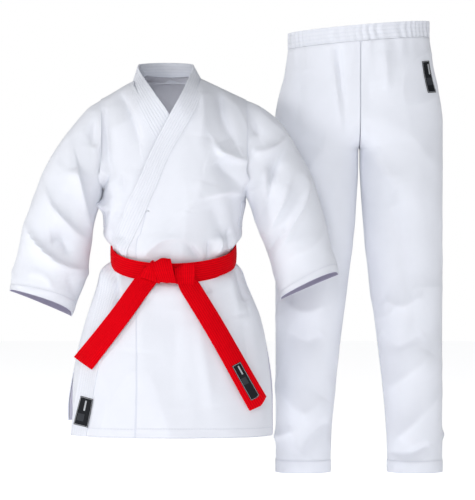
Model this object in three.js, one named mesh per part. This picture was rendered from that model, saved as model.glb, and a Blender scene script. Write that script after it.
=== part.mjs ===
// A martial arts uniform as it hangs when worn by nobody: a cross-over jacket with a tied belt,
// and a pair of trousers standing behind its left sleeve. Millimetres, +Z up, the front faces -Y.
// The origin is between the shoulders, where a hanger or a body carries the jacket.
// Left and right are the wearer's, so "right" is at -X.
import * as THREE from 'three';

// ---- driving dimensions ----
const CLOTH = 2;            // one cotton panel with its seam allowance
const BAND = 4;             // folded lapel band, several layers stitched flat
const LINING = 1.6;         // hem turnings and facings
const SEAM_GAP = 0.4;       // where a ring of cloth meets itself or its hem
const LAYER_GAP = 3.5;        // between the two fronts where they cross
const INSIDE_GAP = 1.9;        // between a panel and what is stitched to its inside
const HINGE_GAP = 1.2;      // between a panel and the part of it that swings
const PANEL_GAP = 0.935;     // between panels sewn edge to edge
const VENT_TURN = 4;        // degrees from the side seam to each edge of a side vent

const CHEST_HALF = 200;     // half width of the body where the sleeves join it
const SIDE_HALF = 152;      // half width under the arms
const WAIST_HALF = 140;     // half width at the belt
const HEM_HALF = 220;       // half width of the skirt at the hem
const CHEST_DEPTH = 105;    // half depth of the body
const WAIST_DEPTH = 100;
const HEM_DEPTH = 130;
const ARMHOLE_X = 160;      // where the sleeves are sewn on
const ARMPIT_Z = -200;      // where the body starts to narrow under the arm
const UNDERARM_Z = -262;
const BELT_Z = -380;        // middle of the belt at the sides
const BELT_DIP = 44;        // how much lower the belt sits at the front
const HEM_Z = -780;
const NECK_X = -8;          // the neck sits a little to one side
const ROOF_Z = 34;          // where the two shoulder slopes would meet
const SHOULDER_SLOPE = 0.47;
const SHOULDER_ROUND = 110; // height over which the shoulders round off

const LABEL_WIDTH = 28;
const LABEL_HEIGHT = 64;
const LABEL_THICK = 1;

const BELT_WIDTH = 40;
const BELT_THICK = 4;
const HEM_BAND = 26;
const FACING = 16;

const SLEEVE_DEPTH = 64;    // half depth of the sleeve at the armhole
const CUFF_DEPTH = 46;

const TROUSER_X = 416;      // middle of the trousers
const TROUSER_Y = 172;
const RISE_TOP_Z = 130;
const WAISTBAND = 36;
const TROUSER_WAIST_HALF = 160;
const HIP_HALF = 190;
const TROUSER_DEPTH = 92;
const HIP_Z = -90;
const CROTCH_Z = -147;
const LEG_FOLD_Z = -160;    // where the legs fold back from the seat
const TROUSER_HEM_Z = -876;
const TROUSER_HEM_HALF = 62;
const TROUSER_HEM_DEPTH = 58;

const TOP_LAYER = BAND + LAYER_GAP;
const TOP_HEM_GAP = INSIDE_GAP + 0.1 * TOP_LAYER; // the top front's hem crosses where that front steps down

// ---- materials ----
const cotton = () => new THREE.MeshStandardMaterial({ color: 0xf4f3f8, roughness: 0.85, metalness: 0 });
const lining = () => new THREE.MeshStandardMaterial({ color: 0xe2e0ec, roughness: 0.9, metalness: 0 });
const redCotton = () => new THREE.MeshStandardMaterial({ color: 0xd3000d, roughness: 0.7, metalness: 0 });
const elasticWeb = () => new THREE.MeshStandardMaterial({ color: 0xdedde6, roughness: 0.95, metalness: 0 });
const labelWeave = () => new THREE.MeshStandardMaterial({ color: 0x15151a, roughness: 0.6, metalness: 0 });

const uniform = new THREE.Group();

// ---- small tools ----
const { lerp, clamp, smoothstep } = THREE.MathUtils;
const radians = THREE.MathUtils.degToRad;
const curve = (...points) => new THREE.SplineCurve(points.map(([x, z]) => new THREE.Vector2(x, z)));

/** A closed cloth slab: it grows by thickness away from centre, or towards it where that is negative. */
function slab(name, material, surface, thickness, across, along, centre) {
  const step = 0.002;
  const normalAt = (u, v) => {
    const a = surface(clamp(u - step, 0, 1), v);
    const b = surface(clamp(u + step, 0, 1), v);
    const c = surface(u, clamp(v - step, 0, 1));
    const d = surface(u, clamp(v + step, 0, 1));
    return b.sub(a).cross(d.sub(c)).normalize();
  };
  const middle = surface(0.5, 0.5);
  const out = Math.sign(normalAt(0.5, 0.5).dot(middle.clone().sub(centre(middle))));
  const geometry = new THREE.BoxGeometry(1, 1, 1, across, along, 1);
  const position = geometry.attributes.position;
  for (let i = 0; i < position.count; i++) {
    const u = position.getX(i) + 0.5;
    const v = position.getY(i) + 0.5;
    const w = position.getZ(i) + 0.5;
    const p = surface(u, v).addScaledVector(normalAt(u, v), out * thickness * w);
    position.setXYZ(i, p.x, p.y, p.z);
  }
  if (out * thickness < 0) {
    const index = geometry.index.array;
    for (let i = 0; i < index.length; i += 3) [index[i], index[i + 1]] = [index[i + 1], index[i]];
  }
  geometry.computeVertexNormals();
  add(name, material, geometry);
}

function add(name, material, geometry) {
  const mesh = new THREE.Mesh(geometry, material);
  mesh.name = name;
  uniform.add(mesh);
  return mesh;
}

/** A flat woven label, lying on a surface at a point. */
function label(name, point, normal, width, height, lean) {
  const mesh = add(name, labelWeave(), new THREE.BoxGeometry(width, height, LABEL_THICK));
  mesh.position.copy(point).addScaledVector(normal, LABEL_THICK / 2);
  mesh.up.set(Math.sin(lean), 0, Math.cos(lean));
  mesh.lookAt(mesh.position.clone().add(normal));
}

// ---- the jacket's shape ----
const roof = (x) => ROOF_Z - SHOULDER_SLOPE * Math.abs(x - NECK_X);
const flare = (z) => Math.sin(clamp((BELT_Z - 20 - z) / 300, 0, 1) * Math.PI / 2);

function halfWidth(z) {
  const chest = lerp(CHEST_HALF, SIDE_HALF, smoothstep(-z, -ARMPIT_Z, -UNDERARM_Z));
  const waist = lerp(chest, WAIST_HALF, smoothstep(-z, -UNDERARM_Z, -BELT_Z));
  return lerp(waist, HEM_HALF, flare(z));
}

function halfDepth(z) {
  const body = lerp(CHEST_DEPTH, WAIST_DEPTH, smoothstep(-z, -UNDERARM_Z, -BELT_Z));
  return lerp(body, HEM_DEPTH, flare(z));
}

/** How far the body has rounded out below the shoulder line, 0 on the line and 1 well below it. */
function rounding(x, z) {
  const down = clamp((roof(x) - z) / SHOULDER_ROUND, 0, 1);
  return Math.sqrt(1 - (1 - down) ** 2);
}

/** A point on the body: turn is 0 at the front middle and positive to the wearer's left. */
function bodyPoint(turn, z) {
  const x = halfWidth(z) * Math.sin(turn);
  return new THREE.Vector3(x, -halfDepth(z) * Math.cos(turn) * rounding(x, z), z);
}

/** The body's outward direction, which is straight forward or back on the shoulder line itself. */
function bodyNormal(turn, z) {
  const low = Math.min(z, roof(halfWidth(z) * Math.sin(turn)) - 8);
  const across = bodyPoint(turn + 0.01, low).sub(bodyPoint(turn - 0.01, low));
  const down = bodyPoint(turn, low - 1).sub(bodyPoint(turn, low + 1));
  return down.cross(across).normalize();
}

const onBody = (turn, z, offset) => bodyPoint(turn, z).addScaledVector(bodyNormal(turn, z), offset);
const turnAt = (x, z) => Math.asin(clamp(x / halfWidth(z), -1, 1));
const jacketAxis = (p) => new THREE.Vector3(0, 0, p.z);

const beltLine = (turn) => BELT_Z - BELT_DIP * Math.max(0, Math.cos(turn)) ** 1.5;
const beltLow = (turn) => beltLine(turn) - BELT_WIDTH / 2;
const skirtTop = (turn) => beltLow(turn) - HINGE_GAP;

/** The turn at which the side of a panel runs: round the armhole, then down the side seam. */
function sideTurn(z) {
  const armhole = Math.asin(ARMHOLE_X / CHEST_HALF);
  return lerp(armhole, Math.PI / 2, smoothstep(-z, -ARMPIT_Z, -UNDERARM_Z)) - radians(0.2);
}

// ---- seam lines on the front, as x and z from the neck to the hem ----
const leftSeam = curve([71, -4], [50, -66], [20, -122], [-10, -178], [-53, -288], [-84, -362],
  [-103, -428], [-152, -620], [-182, -772], [-184, -800]);
const leftEdge = curve([46, 36], [23, -26], [-4, -78], [-39, -147], [-70, -220], [-122, -350],
  [-140, -427], [-190, -620], [-214, -772], [-216, -800]);
const rightSeam = curve([-97, -14], [-83, -42], [-52, -105], [-10, -185], [36, -290], [70, -375],
  [90, -430], [112, -520], [128, -800]);
const rightEdge = curve([-83, 28], [-66, 6], [-38, -35], [-7, -79], [32, -150], [84, -270],
  [117, -370], [132, -430], [154, -520], [170, -800]);
const extensionSeam = curve([-73, -380], [-74, -650], [-78, -800]);

/** Where a line is across the front at a height. */
function lineX(line, z) {
  let low = 0;
  let high = 1;
  for (let i = 0; i < 24; i++) {
    const middle = (low + high) / 2;
    if (line.getPoint(middle).y > z) low = middle;
    else high = middle;
  }
  return line.getPoint(low).x;
}

const lineTurn = (line, z) => turnAt(lineX(line, z), z);

/** The top front lies outside the under front, and comes in to the body past the under front's edge. */
function topOffset(turn, z) {
  const past = (turn - lineTurn(rightEdge, z)) * HEM_DEPTH;
  return TOP_LAYER * (1 - smoothstep(past, 16, 56));
}

const noOffset = () => 0;
const inside = (offset, gap = INSIDE_GAP) => (turn, z) => offset(turn, z) - gap - LINING;

/** Rows are closer near the top of a piece, where the shoulders round off. */
const eased = (v) => v ** 1.4;

/** A panel between two edges: each edge gives its turn at a height, from top(turn) to bottom(turn). */
function panel(name, material, edges, top, bottom, offset, thickness, across, along, spread = noOffset) {
  slab(name, material, (u, even) => {
    const v = eased(even);
    const reach = lerp(top(0), bottom(0), v);
    const turn = lerp(edges[0](reach), edges[1](reach), u);
    const z = lerp(top(turn), bottom(turn), v);
    const point = onBody(turn, z, offset(turn, z));
    point.x *= 1 + spread(turn, z);
    return point;
  }, thickness, across, along, jacketAxis);
}

const on = (line, gap = 0) => (z) => lineTurn(line, z) + gap / HEM_DEPTH;
const sideOf = (side) => (z) => side * sideTurn(z);
const shoulder = (turn) => roof(CHEST_HALF * Math.sin(turn)) - 3;
const hem = () => HEM_Z;

// ---- jacket body ----
panel('front_right', cotton(), [sideOf(-1), on(rightSeam, -PANEL_GAP)], shoulder, beltLow, noOffset, CLOTH, 7, 10);
panel('front_left', cotton(), [on(leftSeam, PANEL_GAP), sideOf(1)], shoulder, beltLow, topOffset, CLOTH, 9, 12);

/** A lapel band runs from beside the neck down its front's edge to the belt. */
function lapel(name, seam, edge, top, offset) {
  slab(name, cotton(), (u, even) => {
    const v = eased(even);
    const seamTurn = lineTurn(seam, lerp(shoulder(0), beltLow(0), v));
    const seamZ = lerp(shoulder(seamTurn), beltLow(seamTurn), v);
    const edgeTurn = lineTurn(edge, lerp(top, beltLow(0), v));
    const turn = lerp(seamTurn, edgeTurn, u);
    const z = lerp(seamZ, lerp(top, beltLow(edgeTurn), v), u);
    return onBody(turn, z, offset(turn, z));
  }, BAND, 3, 14, jacketAxis);
}

lapel('lapel_right', rightSeam, rightEdge, 28, noOffset);
lapel('lapel_left', leftSeam, leftEdge, 36, topOffset);

/** The collar carries the lapels round the back of the neck. */
const NECK_BACK = 74;
const NECK_TURN = 0.06;
slab('collar_back', cotton(), (u, v) => {
  const angle = lerp(NECK_TURN, Math.PI - NECK_TURN, u);
  const round = Math.sin(angle);
  const low = new THREE.Vector3(-13 + 84 * Math.cos(angle), lerp(-8, NECK_BACK, round), lerp(-4, 8, round));
  const high = new THREE.Vector3(-18 + 64 * Math.cos(angle), lerp(2, NECK_BACK - 14, round), lerp(32, 42, round));
  return low.lerp(high, v);
}, BAND, 12, 2, (p) => new THREE.Vector3(-13, 0, p.z));

const backLow = () => BELT_Z - BELT_WIDTH / 2;
const neckBack = (turn) => Math.min(shoulder(turn), 4);
for (const [name, side] of [['right', -1], ['left', 1]]) {
  const middle = () => side * (Math.PI - radians(0.1));
  const edge = (z) => side * (Math.PI - sideTurn(z));
  panel(`back_${name}`, cotton(), [edge, middle], neckBack, backLow, noOffset, CLOTH, 7, 10);
}
const yokeEdge = (side) => () => side * (Math.PI - Math.asin(ARMHOLE_X / CHEST_HALF) + radians(4));
panel('yoke_lining', lining(), [yokeEdge(1), () => 2 * Math.PI + yokeEdge(-1)()],
  (turn) => neckBack(turn) - 12, () => ARMPIT_Z + 40, inside(noOffset), LINING, 8, 6);
for (const [name, side] of [['right', -1], ['left', 1]]) {
  const under = (half) => () => side * (Math.PI / 2 + half * radians(15));
  panel(`underarm_gusset_${name}`, cotton(), [under(-1), under(1)], () => UNDERARM_Z - 6, () => UNDERARM_Z - 60,
    () => CLOTH + 1.2, LINING, 4, 3);
  const tie = (half) => () => side * (Math.PI / 2 - radians(14) + half * radians(3));
  panel(`inner_tie_${name}`, cotton(), [tie(-1), tie(1)], () => UNDERARM_Z - 24, () => BELT_Z + 26,
    () => -2 * CLOTH + 0.9, CLOTH - 0.6, 3, 4);
}

// ---- belt: two turns, the knot and two tails ----
const BELT_LAYER = TOP_LAYER + BAND + 2;
const BELT_TURN_GAP = 1;
const KNOT_TURN = radians(-8);
const beltOffset = (turn) => {
  const back = Math.abs(Math.atan2(Math.sin(turn), Math.cos(turn)));
  return lerp(BELT_LAYER, CLOTH + 1.5, smoothstep(back, radians(84), radians(120)));
};
for (const [name, layer] of [['belt_inner_turn', 0], ['belt_outer_turn', 1]]) {
  slab(name, redCotton(), (u, v) => {
    const turn = KNOT_TURN + lerp(radians(0.3), 2 * Math.PI - radians(0.3), u);
    const z = beltLine(turn) + (v - 0.5) * BELT_WIDTH;
    return onBody(turn, beltLow(turn), beltOffset(turn) + layer * (BELT_THICK + BELT_TURN_GAP)).setZ(z);
  }, BELT_THICK, 36, 1, jacketAxis);
}

const KNOT_Y = onBody(0, beltLow(0), BELT_LAYER + 2 * BELT_THICK + BELT_TURN_GAP + 0.6).y;
function knotPiece(name, left, right, top, bottom, thickness, slant) {
  slab(name, redCotton(), (u, v) => new THREE.Vector3(
    lerp(left, right, u), KNOT_Y - 3 * Math.sin(Math.PI * u), lerp(top, bottom, v) + slant * (u - 0.5)),
  thickness, 4, 3, jacketAxis);
}
knotPiece('knot_core', -43, 8, -391, -443, 12, 6);
knotPiece('knot_left', -62, -48.2, -414, -454.5, 6, -11.6);
knotPiece('knot_right', 11.5, 44, -412, -456.4, 6, 20);

const TAIL_LAYER = TOP_LAYER + BAND + 2;
const TAIL_LIFT = 9;        // the tails come out of the knot this far in front of the skirt
/** A tail lies on the skirt along a line of x and z, and is cut square at its end. */
function tail(name, line) {
  slab(name, redCotton(), (u, v) => {
    const p = line.getPoint(v);
    const across = line.getTangent(v).rotateAround(new THREE.Vector2(), Math.PI / 2);
    p.addScaledVector(across, (u - 0.5) * BELT_WIDTH);
    return onBody(turnAt(p.x, p.y), p.y, TAIL_LAYER + TAIL_LIFT * (1 - v) ** 3);
  }, BELT_THICK, 2, 8, jacketAxis);
}
const rightTail = curve([-56, -455], [-100, -514], [-181, -623]);
const leftTail = curve([34, -456], [82, -539], [126, -618], [176, -713]);
tail('belt_tail_right', rightTail);
tail('belt_tail_left', leftTail);
const tailTop = (turn, z) => onBody(turn, z, TAIL_LAYER + BELT_THICK + 0.6);
label('belt_label', tailTop(turnAt(156, -678), -678), bodyNormal(turnAt(156, -678), -678), 19, 58, radians(-28));

// ---- jacket skirt: front and back swing below the belt, with a vent at each side ----
const ventSide = (side, back = false) => () => side * (Math.PI / 2 + (back ? 1 : -1) * radians(VENT_TURN));
const skirtSpread = (turn, z) => (Math.sin(turn) < 0 ? 0.06 : -0.08) * flare(z);
panel('skirt_front_right', cotton(), [ventSide(-1), on(rightSeam, -PANEL_GAP)], skirtTop, hem, noOffset, CLOTH, 10, 6);
panel('lapel_right_lower', cotton(), [on(rightSeam), on(rightEdge)], skirtTop, hem, noOffset, BAND, 2, 6);
panel('skirt_front_left', cotton(), [on(extensionSeam, PANEL_GAP), ventSide(1)], skirtTop, hem, topOffset, CLOTH, 10, 6);
panel('front_extension_left', cotton(), [on(leftSeam, PANEL_GAP), on(extensionSeam)], skirtTop, hem, topOffset,
  CLOTH, 2, 6);
panel('lapel_left_lower', cotton(), [on(leftEdge), on(leftSeam)], skirtTop, hem, topOffset, BAND, 2, 6);
const backTop = () => BELT_Z - BELT_WIDTH / 2 - HINGE_GAP;
const backHem = () => HEM_Z + 30;
for (const [name, side] of [['right', -1], ['left', 1]]) {
  panel(`skirt_back_${name}`, cotton(), [ventSide(side, true), () => side * (Math.PI - radians(0.1))], backTop,
    backHem, noOffset, CLOTH, 8, 6, skirtSpread);
  for (const back of [false, true]) {
    const face = back ? 'back' : 'front';
    const edge = ventSide(side, back)();
    const inner = edge + (back ? 1 : -1) * side * FACING / HEM_DEPTH;
    const layer = side > 0 && !back ? topOffset : noOffset;
    panel(`vent_facing_${face}_${name}`, lining(), [() => edge, () => inner], () => -470,
      back ? backHem : hem, inside(layer), LINING, 1, 5, back ? skirtSpread : noOffset);
  }
}
const hemInner = (side) => side * (Math.PI / 2 - radians(VENT_TURN) - 1.3 * FACING / HEM_DEPTH);
panel('hem_front_left', lining(), [on(rightEdge, 8), () => hemInner(1)], () => HEM_Z + HEM_BAND, hem,
  inside(topOffset, TOP_HEM_GAP), LINING, 8, 1);
panel('hem_front_right', lining(), [() => hemInner(-1), on(rightSeam)], () => HEM_Z + HEM_BAND, hem,
  inside(noOffset), LINING, 5, 1);
panel('hem_back', lining(), [() => Math.PI - hemInner(1), () => Math.PI - hemInner(-1)],
  () => backHem() + HEM_BAND, backHem, inside(noOffset), LINING, 10, 1, skirtSpread);
const LABEL_Z = HEM_Z + 54;
const LABEL_IN = -12.33;    // from the lapel's outer seam to the middle of the label
const labelTurn = turnAt(lineX(leftSeam, LABEL_Z) + LABEL_IN, LABEL_Z);
label('jacket_label', onBody(labelTurn, LABEL_Z, TOP_LAYER + BAND + 0.8), bodyNormal(labelTurn, LABEL_Z), LABEL_WIDTH,
  LABEL_HEIGHT, radians(12));

// ---- sleeves ----
const SLEEVE_START = ARMHOLE_X + 1.4;
const CUFF_SHARE = 0.94;
function sleeve(name, side, top, under) {
  const at = (t, angle) => {
    const a = top.getPoint(t);
    const b = under.getPoint(t);
    const middle = a.clone().add(b).multiplyScalar(0.5);
    const reach = a.sub(b).multiplyScalar(0.5 * Math.cos(angle)).add(middle);
    return new THREE.Vector3(side * reach.x, Math.sin(angle) * lerp(SLEEVE_DEPTH, CUFF_DEPTH, t), reach.y);
  };
  const axis = (p) => {
    const t = 0.5;
    return at(t, 0).add(at(t, Math.PI)).multiplyScalar(0.5).setZ(p.z);
  };
  for (const [face, sign] of [['front', -1], ['back', 1]]) {
    slab(`sleeve_${name}_${face}`, cotton(), (u, v) => {
      const angle = sign * lerp(0.006, Math.PI - 0.006, u);
      return at(v * CUFF_SHARE, angle);
    }, CLOTH, 6, 8, (p) => new THREE.Vector3(p.x, 0, p.z));
  }
  slab(`cuff_${name}`, cotton(), (u, v) => at(lerp(CUFF_SHARE + 0.004, 1, v), lerp(0.006, 2 * Math.PI - 0.006, u)
    + Math.PI), CLOTH + LINING, 16, 1, axis);
}
sleeve('right', -1, curve([SLEEVE_START, -47], [214, -97], [258, -154], [286, -205], [322, -306], [350, -427], [358, -466]),
  curve([SLEEVE_START, -250], [168, -286], [180, -330], [189, -394], [199, -440], [229, -519]));
sleeve('left', 1, curve([SLEEVE_START, -47], [228, -91], [264, -145], [304, -215], [326, -285], [348, -374], [359, -431]),
  curve([SLEEVE_START, -246], [172, -272], [191, -331], [209, -382], [226, -440], [239, -482]));

// ---- trousers ----
const SEAT_TOP_Z = RISE_TOP_Z - WAISTBAND - SEAM_GAP;
const RISE_Z = -60;         // where the crotch seam starts to curve under
const WAIST_TILT = 0.085;

/** A point on the trousers: angle 0 is the middle seam or inseam and 180 degrees the outer seam. */
function trouserPoint(side, face, angle, z, inset = 0) {
  const drop = clamp((RISE_Z - z) / (RISE_Z - CROTCH_Z), 0, 1);
  const apart = 1 - Math.sqrt(1 - drop ** 2);
  const wide = lerp(TROUSER_WAIST_HALF, HIP_HALF, smoothstep(-z, -SEAT_TOP_Z, -HIP_Z)) - inset;
  const deep = TROUSER_DEPTH - inset;
  const leg = smoothstep(-z, -CROTCH_Z, -TROUSER_HEM_Z);
  const legHalf = lerp(HIP_HALF / 2 - 1, TROUSER_HEM_HALF, leg) - inset;
  const legDeep = lerp(TROUSER_DEPTH - 4, TROUSER_HEM_DEPTH, leg) - inset;
  const legMiddle = lerp(HIP_HALF / 2, HIP_HALF - TROUSER_HEM_HALF - 2, leg);
  const x = lerp(wide * Math.sin(angle / 2), legMiddle - legHalf * Math.cos(angle), apart);
  const y = lerp(deep * Math.cos(angle / 2), legDeep * Math.sin(angle), apart);
  const tilt = WAIST_TILT * side * x * smoothstep(z, RISE_Z, SEAT_TOP_Z);
  return new THREE.Vector3(TROUSER_X + side * (x + SEAM_GAP), TROUSER_Y + face * y, z + tilt);
}

const trouserAxis = (p) => new THREE.Vector3(TROUSER_X, TROUSER_Y, p.z);
const legAxis = (side) => (p) => new THREE.Vector3(TROUSER_X + side * HIP_HALF / 2, TROUSER_Y, p.z);
const LEG_BAND = 28;
const LEG_GAP = 0.8;
for (const [name, side] of [['right', -1], ['left', 1]]) {
  for (const [faceName, face] of [['front', -1], ['back', 1]]) {
    const outer = Math.PI - 0.008;
    slab(`seat_${faceName}_${name}`, cotton(),
      (u, v) => trouserPoint(side, face, lerp(0.004, outer, u), lerp(SEAT_TOP_Z, LEG_FOLD_Z + LEG_GAP, v)),
      -CLOTH, 7, 8, legAxis(side));
    slab(`leg_${faceName}_${name}`, cotton(),
      (u, v) => trouserPoint(side, face, lerp(0.008, outer, u), lerp(LEG_FOLD_Z, TROUSER_HEM_Z + LEG_BAND, v)),
      -CLOTH, 7, 7, legAxis(side));
  }
  slab(`leg_hem_${name}`, cotton(), (u, v) => {
    const round = lerp(0.01, 2 * Math.PI - 0.01, u);
    const face = round < Math.PI ? -1 : 1;
    const angle = round < Math.PI ? round : 2 * Math.PI - round;
    return trouserPoint(side, face, angle, lerp(TROUSER_HEM_Z + LEG_BAND - SEAM_GAP, TROUSER_HEM_Z, v));
  }, -CLOTH - LINING, 20, 1, legAxis(side));
}

/** A ring round the waist, open by a hair at the back. */
function waistRing(name, material, thickness, inset, low, high) {
  slab(name, material, (u, v) => {
    const turn = Math.PI + lerp(0.004, 2 * Math.PI - 0.004, u);
    const z = lerp(high, low, v);
    const x = (TROUSER_WAIST_HALF - inset) * Math.sin(turn);
    return new THREE.Vector3(TROUSER_X + x, TROUSER_Y - (TROUSER_DEPTH - inset) * Math.cos(turn), z + WAIST_TILT * x);
  }, thickness, 28, 1, trouserAxis);
}
waistRing('waistband', cotton(), -CLOTH, 0, RISE_TOP_Z - WAISTBAND, RISE_TOP_Z);
waistRing('waist_elastic', elasticWeb(), -CLOTH, CLOTH + SEAM_GAP, RISE_TOP_Z - WAISTBAND + 3, RISE_TOP_Z - 3);

slab('crotch_gusset', cotton(), (u, v) => {
  const angle = lerp(-0.8, 0.8, v);
  const deep = TROUSER_DEPTH - 2 * CLOTH - INSIDE_GAP;
  const drop = RISE_Z - CROTCH_Z - 2 * CLOTH - INSIDE_GAP;
  return new THREE.Vector3(TROUSER_X + lerp(-6, 6, u), TROUSER_Y + deep * Math.sin(angle), RISE_Z - drop * Math.cos(angle));
}, CLOTH, 1, 6, () => new THREE.Vector3(TROUSER_X, TROUSER_Y, RISE_Z));

const hip = (angle, z) => trouserPoint(1, -1, radians(angle), z);
const hipNormal = hip(128, 30).sub(hip(128, -10)).cross(hip(124, 10).sub(hip(132, 10))).normalize();
label('trouser_label', hip(128, 10).addScaledVector(hipNormal, 0.8), hipNormal, LABEL_WIDTH, LABEL_HEIGHT, radians(-3));

export default uniform;
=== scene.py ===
"""A martial arts uniform: a cross-over jacket with a tied belt, and trousers behind its left sleeve.

Everything is in metres, the front faces -Y, and left and right are the wearer's, so "right" is at -X.
"""

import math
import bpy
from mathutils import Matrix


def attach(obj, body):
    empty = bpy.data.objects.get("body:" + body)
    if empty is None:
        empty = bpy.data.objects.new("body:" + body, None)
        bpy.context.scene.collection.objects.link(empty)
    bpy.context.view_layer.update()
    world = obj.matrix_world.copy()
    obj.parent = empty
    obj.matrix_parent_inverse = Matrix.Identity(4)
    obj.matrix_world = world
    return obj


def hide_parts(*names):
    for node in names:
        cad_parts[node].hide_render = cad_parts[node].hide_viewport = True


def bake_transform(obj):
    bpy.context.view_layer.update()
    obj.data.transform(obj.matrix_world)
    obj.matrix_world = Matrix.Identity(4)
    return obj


bl_info = {
    "name": "Martial Arts Uniform",
    "version": (1, 0, 0),
    "blender": (4, 5, 0),
    "location": "3D View > Sidebar > Uniform",
    "description": "Sews a cross-over jacket with a tied belt and a pair of trousers",
    "category": "Object",
}

import bmesh
import bpy
import numpy as np
from bpy.props import FloatProperty, FloatVectorProperty, PointerProperty
from mathutils import Vector, noise

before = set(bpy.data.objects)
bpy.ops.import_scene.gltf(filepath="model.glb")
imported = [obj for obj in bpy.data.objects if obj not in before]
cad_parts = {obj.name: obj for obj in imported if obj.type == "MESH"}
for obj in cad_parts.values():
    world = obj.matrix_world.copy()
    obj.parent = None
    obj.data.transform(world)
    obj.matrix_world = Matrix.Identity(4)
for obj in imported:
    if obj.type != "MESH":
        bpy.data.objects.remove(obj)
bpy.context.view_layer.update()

# ---- the pattern: the same lines and layers as the frame ----
CHEST_HALF, SIDE_HALF, WAIST_HALF, HEM_HALF = 0.200, 0.152, 0.140, 0.220
CHEST_DEPTH, WAIST_DEPTH, HEM_DEPTH = 0.105, 0.100, 0.130
ARMHOLE_X, ARMPIT_Z, UNDERARM_Z = 0.160, -0.200, -0.262
SHOULDER_FALL = 0.007  # how far the right shoulder drops where its sleeve begins
BELT_Z, BELT_DIP, BELT_WIDTH, BELT_THICK = -0.380, 0.044, 0.040, 0.004
HEM_Z = -0.780
BACK_HEM_Z = HEM_Z + 0.030
NECK_X, ROOF_Z, SHOULDER_SLOPE, SHOULDER_ROUND = -0.008, 0.034, 0.47, 0.110
LAYER_GAP, INSIDE_GAP = 0.0035, 0.0019
TROUSER_X, TROUSER_Y = 0.416, 0.172
WAIST_TOP_Z, WAISTBAND = 0.130, 0.036
TROUSER_WAIST_HALF, HIP_HALF, TROUSER_DEPTH = 0.160, 0.190, 0.092
HIP_Z, RISE_Z, CROTCH_Z, TROUSER_HEM_Z = -0.090, -0.060, -0.147, -0.876
TROUSER_HEM_HALF, TROUSER_HEM_DEPTH, WAIST_TILT = 0.062, 0.058, 0.085
RIGHT, LEFT = -1, 1
FRONT, BACK = -1, 1
SIDES = (("right", RIGHT), ("left", LEFT))


def length(name, note, default, low, high):
    return FloatProperty(name=name, description=note, default=default, min=low, max=high, unit="LENGTH")


def colour(name, note, default):
    return FloatVectorProperty(name=name, description=note, default=default, subtype="COLOR", min=0, max=1)


class UniformSizes(bpy.types.PropertyGroup):
    """Sizes of the cloth, the stitching and the folds"""

    cloth: length("Cloth", "Thickness of one cotton panel with its seam allowance", 0.002, 0.0008, 0.004)
    band: length("Lapel band", "Thickness of the folded and stitched lapel band", 0.004, 0.002, 0.006)
    cell: length("Cell", "Size of one mesh cell of a cloth panel", 0.0038, 0.002, 0.02)
    fold_depth: FloatProperty(
        name="Folds", description="Depth of the folds, as a multiple of their drawn height",
        default=2.2, min=0.0, max=3.0, subtype="NONE")
    wrinkle_depth: length("Wrinkles", "Height of the small wrinkles between the folds", 0.0028, 0.0, 0.006)
    stitch_pitch: length("Stitch rows", "Distance between the rows on the lapel band", 0.0068, 0.003, 0.015)
    belt_pitch: length("Belt rows", "Distance between the rows on the belt", 0.0048, 0.002, 0.01)


class UniformColours(bpy.types.PropertyGroup):
    """Colours of the cloth, the belt and the labels"""

    cotton: colour("Cotton", "Colour of the bleached jacket and trouser cotton", (0.80, 0.82, 0.885))
    # Painted light: the inside of the cloth is coloured lighter than the outside cotton to stand in for the
    # light reaching inside the jacket; the inside is the same white cotton.
    lining_painted_light: colour("Inside", "Colour of the unbleached inside of the cloth", (0.86, 0.87, 0.94))
    belt: colour("Belt", "Colour of the dyed belt", (0.80, 0.0, 0.006))
    label: colour("Label", "Colour of the woven labels", (0.010, 0.011, 0.014))
    floor: colour("Floor", "Colour of the floor", (0.96, 0.96, 0.97))


def sizes():
    return bpy.context.scene.uniform_sizes


def colours():
    return bpy.context.scene.uniform_colours


# ---- small tools ----
def mix(a, b, t):
    return a + (b - a) * t


def xyz(x, y, z):
    return np.stack([x, y, z], axis=-1)


def unit(vectors):
    return vectors / np.linalg.norm(vectors, axis=-1, keepdims=True)


def always(value):
    """The same value at every turn and height."""
    return lambda turn, z=0: value + 0 * turn


def rise(x, low, high):
    """0 below low and 1 above high, with a smooth step between them."""
    t = np.clip((np.asarray(x, float) - low) / (high - low), 0, 1)
    return t * t * (3 - 2 * t)


def spline(points, count=40):
    """Points spread along a smooth line through the given ones."""
    p = np.array(points, float)
    ends = np.vstack([p[0], p, p[-1]])
    t = np.linspace(0, 1, count, endpoint=False)[:, None]
    runs = []
    for a, b, c, d in zip(ends, ends[1:], ends[2:], ends[3:]):
        v0, v1 = (c - a) / 2, (d - b) / 2
        runs.append((2 * b - 2 * c + v0 + v1) * t**3 + (3 * c - 3 * b - 2 * v0 - v1) * t**2 + v0 * t + b)
    return np.vstack([*runs, p[-1:]])


def seam(*points):
    """A seam down the front, as a function from height to how far across it runs."""
    line = spline([(x / 1000, z / 1000) for x, z in points])[::-1]
    return lambda z: np.interp(z, line[:, 1], line[:, 0])


def creases(points, size, seed):
    """Narrow crests from 0 to 1 that run together like the creases of heavy cotton, about size apart."""
    return (1 - np.clip(np.abs(speckle(points, size, seed)), 0, 1)) ** 3


def speckle(points, size, seed):
    """Smooth noise from -1 to 1 at each point, with lumps about size across."""
    shift = Vector((seed * 7.31, seed * 3.17, seed * 5.77))
    scaled = np.asarray(points, float) / size
    lumps = [noise.noise(Vector(p) + shift) for p in scaled.reshape(-1, 3).tolist()]
    return np.array(lumps).reshape(scaled.shape[:-1]) * 1.6


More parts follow.
